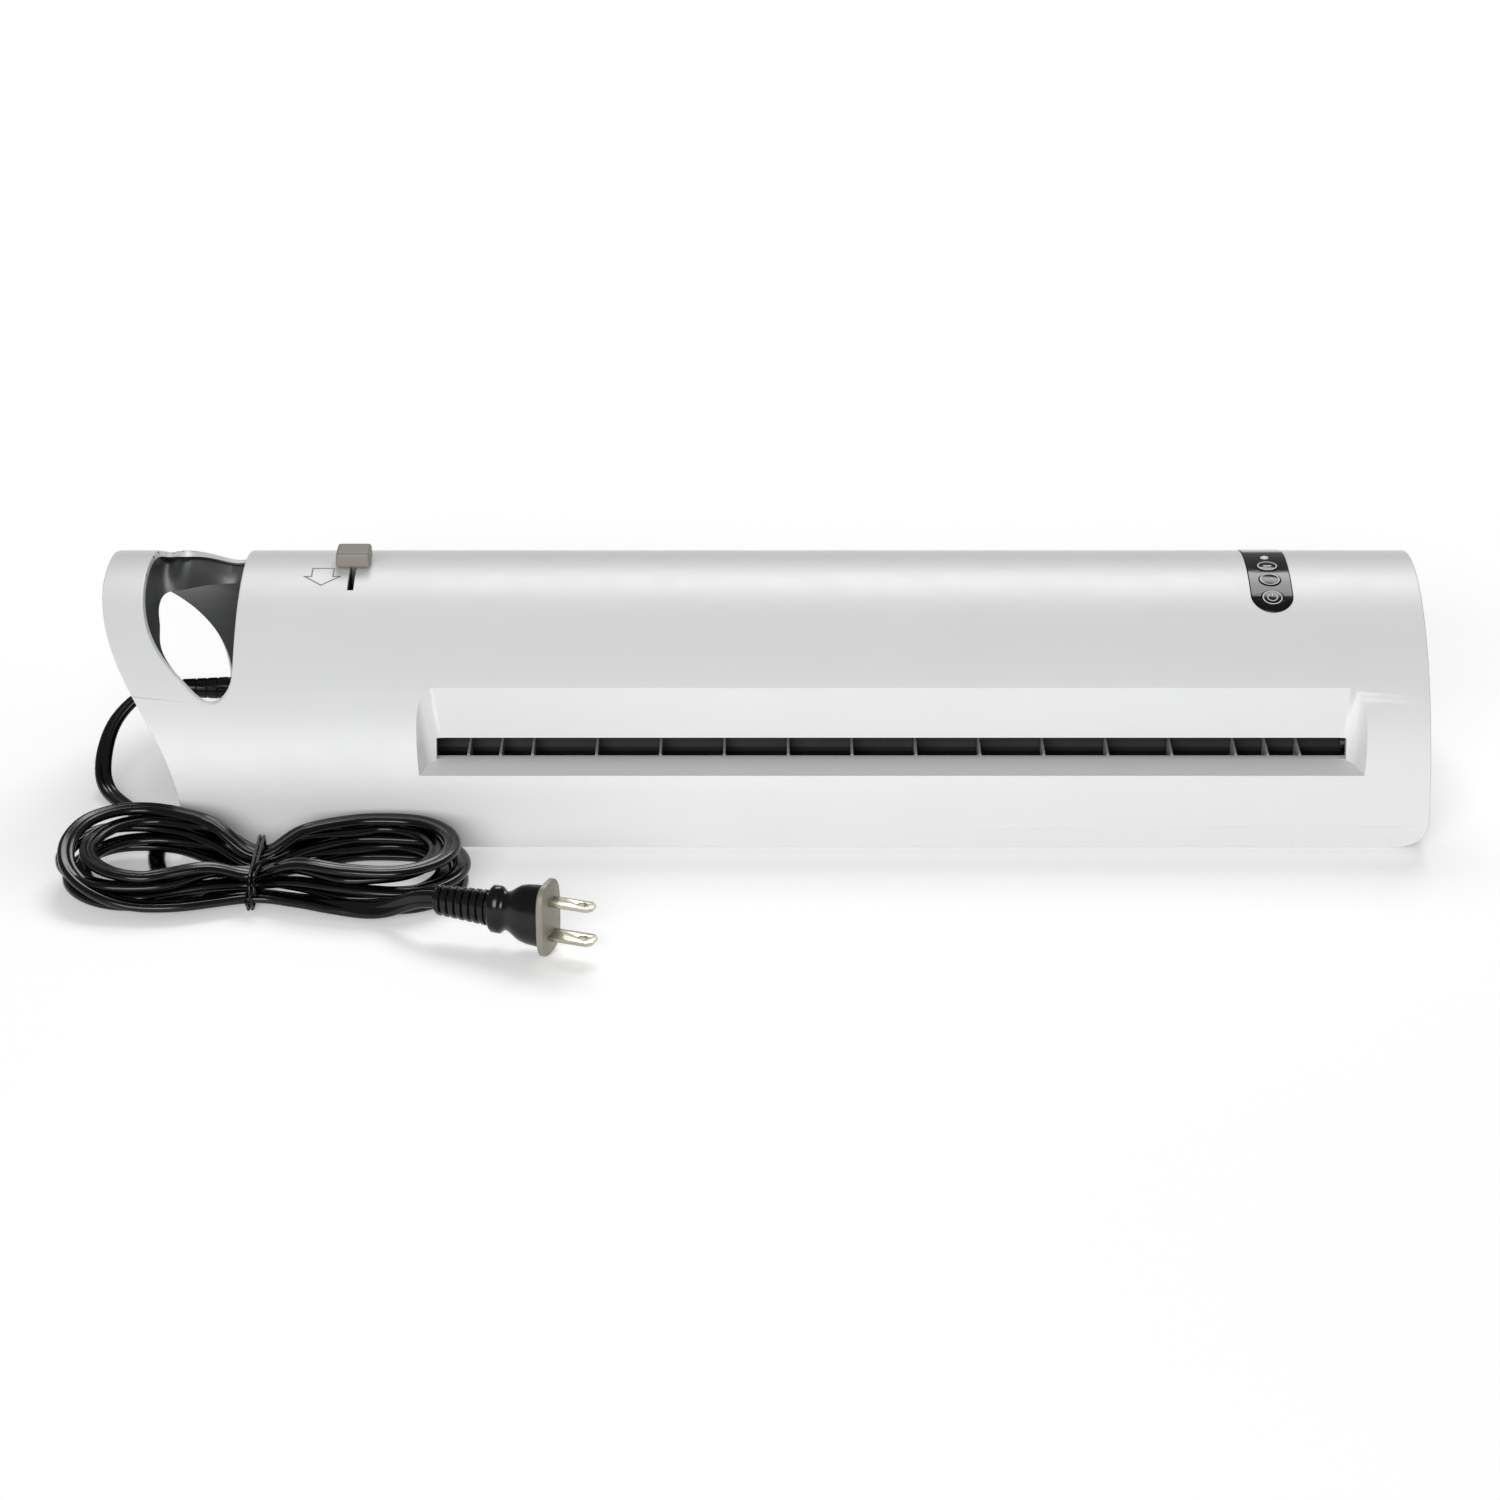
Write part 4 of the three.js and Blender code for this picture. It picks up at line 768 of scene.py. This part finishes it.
def makePanel(s):
    bm = carve(halfRound(s["x"] - 20, s["x"] + 20, -s["proud"], body["base"]), [
        ("DIFFERENCE", halfRound(s["x"] - 21, s["x"] + 21, body["wall"], body["base"] - 1)),
        ("INTERSECT", prism(panelOutline(0), "Z", crown - 24, crown + 4)),
        *[("DIFFERENCE", capTool(b["y"], b["radius"] + s["gap"])) for b in buttonSettings.values()],
        ("DIFFERENCE", capTool(s["lensY"], s["lensRadius"] + s["gap"])),
    ])
    bevelEdges(bm, sharpEdges(bm, 50), 0.16, 2)
    return addPiece("panel_label", bm, panelBlack, replaced=("control_panel",), sharp=40,
                    weighted=True)


def capTool(y, radius):
    bm = bmesh.new()
    bmesh.ops.create_cone(bm, cap_ends=True, segments=48, radius1=radius, radius2=radius, depth=12)
    bmesh.ops.transform(bm, matrix=surfaceFrame(panelSettings["x"], y), verts=bm.verts)
    return bm


makePanel(panelSettings)


# a turned shape from [radius, height] stations, closed at both ends
def turned(stations, sides):
    bm = bmesh.new()
    spots = [bm.verts.new((r, 0, h)) for r, h in stations]
    edges = [bm.edges.new(pair) for pair in zip(spots, spots[1:])]
    bmesh.ops.spin(bm, geom=spots + edges, cent=(0, 0, 0), axis=(0, 0, 1), angle=2 * math.pi, steps=sides,
                   use_merge=True, dvec=(0, 0, 0))
    bmesh.ops.remove_doubles(bm, verts=bm.verts, dist=0.001)
    bmesh.ops.recalc_face_normals(bm, faces=bm.faces)
    return bm


# printed marks, lying flat and as thick as their ink
def ringMark(radius, width, start=0, end=360):
    bm = bmesh.new()
    steps = max(6, int((end - start) / 7.5))
    a = math.radians(start)
    ends = [bm.verts.new((r * math.cos(a), r * math.sin(a), 0)) for r in (radius, radius + width)]
    edge = bm.edges.new(ends)
    bmesh.ops.spin(bm, geom=[*ends, edge], cent=(0, 0, 0), axis=(0, 0, 1), angle=math.radians(end - start),
                   steps=steps, use_merge=end - start == 360, dvec=(0, 0, 0))
    bmesh.ops.remove_doubles(bm, verts=bm.verts, dist=0.001)
    pushFaces(bm, bm.faces[:], (0, 0, markHeight))
    return bm


def barMark(x0, y0, x1, y1):
    bm = bmesh.new()
    bm.faces.new([bm.verts.new((x, y, 0)) for x, y in ((x0, y0), (x1, y0), (x1, y1), (x0, y1))])
    pushFaces(bm, bm.faces[:], (0, 0, markHeight))
    return bm


def makeButton(name, s):
    radius = s["radius"]
    place = surfaceFrame(panelSettings["x"], s["y"])
    bm = turned([(0, -3), (radius, -3), (radius, 0.3), (radius - 0.08, 0.45), (radius - 0.3, 0.55),
                 (0, 0.5)], 56)
    bmesh.ops.transform(bm, matrix=place, verts=bm.verts)
    addPiece(name + "_cap", bm, capBlack, rides=name, replaced=(name,), sharp=50)
    marks = [ringMark(radius - 0.75, 0.42)]
    if s["mark"] == "power":
        marks += [ringMark(1.6, 0.38, 120, 420), barMark(-0.2, 0.5, 0.2, 2.3)]
    elif s["mark"] == "thin":
        marks += [barMark(-1.5, -0.2, 1.5, 0.1)]
    else:
        marks += [barMark(-1.5, -0.6, 1.5, 0.4)]
    for k, mark in enumerate(marks):
        bmesh.ops.transform(mark, matrix=place @ Matrix.Translation((0, 0, 0.535)), verts=mark.verts)
        addPiece(f"{name}_mark_{k + 1}", mark, inkGrey, rides=name, sharp=30)


for name, s in buttonSettings.items():
    makeButton(name, s)

edge = panelSettings["lensRadius"]
lens = turned([(0, -3), (edge, -3), (edge, 0.35), (1.35, 0.62), (0.8, 0.8), (0, 0.85)], 32)
bmesh.ops.transform(lens, matrix=surfaceFrame(panelSettings["x"], panelSettings["lensY"]), verts=lens.verts)
addPiece("ready_light", lens, lensClear, replaced=("ready_lens",), sharp=60)
print("controls made")


# release knob, its arm shows in the slot below
knobSettings = {"middle": (-152, -1.1), "size": (13, 11.8, 5.9), "low": 84.3, "edge": 1.15}


def makeKnob(s):
    bm = bmesh.new()
    bmesh.ops.create_cube(bm, size=1)
    bmesh.ops.scale(bm, vec=s["size"], verts=bm.verts)
    bmesh.ops.translate(bm, vec=(*s["middle"], s["low"] + s["size"][2] / 2), verts=bm.verts)
    upper = [v for v in bm.verts if v.co.z > s["low"] + 1]
    aboutMiddle = Matrix.Translation((-s["middle"][0], -s["middle"][1], 0))
    bmesh.ops.scale(bm, vec=(0.96, 0.94, 1), verts=upper, space=aboutMiddle)
    bevelEdges(bm, bm.edges[:], s["edge"], 5)
    return addPiece("release_thumb_knob", bm, knobGrey, rides="release_lever", replaced=("release_knob",),
                    sharp=60, weighted=True)


makeKnob(knobSettings)


# outlined arrow printed beside the lever, pointing the way that frees the pouch
arrowSettings = {"x": -163, "tail": -5.6, "shoulder": -11.7, "tip": -17.4, "stem": 4, "head": 6.7, "line": 0.45,
                 "low": 0.02, "high": 0.09}


def makeArrow(s):
    x, half = s["x"], s["line"] / 2
    outline = [(x - s["stem"], s["tail"]), (x - s["stem"], s["shoulder"]), (x - s["head"], s["shoulder"]),
               (x, s["tip"]), (x + s["head"], s["shoulder"]), (x + s["stem"], s["shoulder"]),
               (x + s["stem"], s["tail"])]
    bm = bmesh.new()
    for start, end in zip(outline, outline[1:] + outline[:1]):
        a, b = Vector(start), Vector(end)
        along = (b - a).normalized()
        side = Vector((-along.y, along.x)) * half
        a, b = a - along * half, b + along * half
        for k in range(8):
            ends = (a.lerp(b, k / 8), a.lerp(b, (k + 1) / 8))
            corners = (ends[0] - side, ends[1] - side, ends[1] + side, ends[0] + side)
            low = [bm.verts.new((c.x, c.y, surfaceHeight(c.y) + s["low"])) for c in corners]
            high = [bm.verts.new((c.x, c.y, surfaceHeight(c.y) + s["high"])) for c in corners]
            bm.faces.new(low[::-1])
            bm.faces.new(high)
            for m in range(4):
                bm.faces.new((low[m], low[(m + 1) % 4], high[(m + 1) % 4], high[m]))
    bmesh.ops.recalc_face_normals(bm, faces=bm.faces)
    return addPiece("release_arrow_print", bm, inkFaint, sharp=30)


makeArrow(arrowSettings)


# finer copies of CAD pieces that show: merged, softly bevelled, and shaded smooth
def refine(node, name, width, segments=2, angle=35):
    source = frame["nodes"][node]
    bm = bmesh.new()
    bm.from_mesh(source.data)
    bmesh.ops.scale(bm, vec=(1 / mm, 1 / mm, 1 / mm), verts=bm.verts)
    bmesh.ops.remove_doubles(bm, verts=bm.verts, dist=0.005)
    bmesh.ops.dissolve_limit(bm, angle_limit=math.radians(2), verts=bm.verts[:], edges=bm.edges[:])
    bevelEdges(bm, sharpEdges(bm, angle), width, segments)
    rides = next(b for b, parts in frame["record"]["behaviour"]["bodies"].items() if node in parts)
    return addPiece(name, bm, slotFinish[nodeSlot[node]], rides=rides, replaced=(node,),
                    sharp=40, weighted=True)


edgeWidths = {"base_tray": 0.3, "handle_end_wall": 0.3}
for k in range(1, 5):
    edgeWidths[f"foot_{k}"] = 0.25
for k in range(1, 5):
    edgeWidths[f"base_screw_{k}"] = 0.15
for node, width in edgeWidths.items():
    refine(node, node + ("_head" if "screw" in node else "_moulded"), width)

# the lift springs, which shorten against their upper seats as the rollers rise; here they are refined copies
# with meshes of their own
springSettings = {"edge": 0.05, "seat": 69.7, "keep": 0.76}
for node in ("left_spring", "right_spring"):
    coil = refine(node, node + "_coil", springSettings["edge"], 1, angle=170)
    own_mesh(coil)
print("small pieces made")


# floor and studio light
lightSettings = {
    "sky": 0.25, "floor": "#f4f4f4", "glow": 0.27,
    "lamps": {
        "front_light": {"spot": (-0.5, -2.6, 1.0), "aim": (0, 0, 0.04), "size": (1.8, 1.2), "power": 50},
        "top_light": {"spot": (0.2, 1.5, 1.8), "aim": (0, 0, 0), "size": (1.5, 1.0), "power": 29},
    },
}


def addArea(name, spot, aim, size, power):
    data = bpy.data.lights.new(name, "AREA")
    data.shape = "RECTANGLE"
    data.size, data.size_y = size
    data.energy = power
    lamp = bpy.data.objects.new(name, data)
    scene.collection.objects.link(lamp)
    lamp.location = spot
    lamp.rotation_euler = (Vector(aim) - Vector(spot)).to_track_quat("-Z", "Y").to_euler()


def makeStudio(s):
    bm = bmesh.new()
    bmesh.ops.create_grid(bm, x_segments=1, y_segments=1, size=20)
    mesh = bpy.data.meshes.new("floor")
    bm.to_mesh(mesh)
    bm.free()
    floor = bpy.data.objects.new("floor", mesh)
    scene.collection.objects.link(floor)
    paper, tree, shader, place = startMaterial("mattWhitePaper")
    fibres = addNode(tree, "ShaderNodeTexNoise", {"Vector": place, "Scale": 900, "Detail": 3})
    tone = addNode(tree, "ShaderNodeMix", {0: fibres.outputs["Fac"], 6: linear(s["floor"]),
                                           7: linear("#f2f2f2")}, data_type="RGBA")
    tree.links.new(tone.outputs[2], shader.inputs["Base Color"])
    shader.inputs["Roughness"].default_value = 0.9
    shader.inputs["Specular IOR Level"].default_value = 0.1
    shader.inputs["Emission Color"].default_value = (1, 1, 1, 1)
    shader.inputs["Emission Strength"].default_value = s["glow"]
    mesh.materials.append(paper)
    world = bpy.data.worlds.new("studio")
    world.use_nodes = True
    world.node_tree.nodes["Background"].inputs["Color"].default_value = (1, 1, 1, 1)
    world.node_tree.nodes["Background"].inputs["Strength"].default_value = s["sky"]
    scene.world = world
    for name, lamp in s["lamps"].items():
        addArea(name, **lamp)
    scene.view_settings.view_transform = "Standard"


makeStudio(lightSettings)

print("scene made")
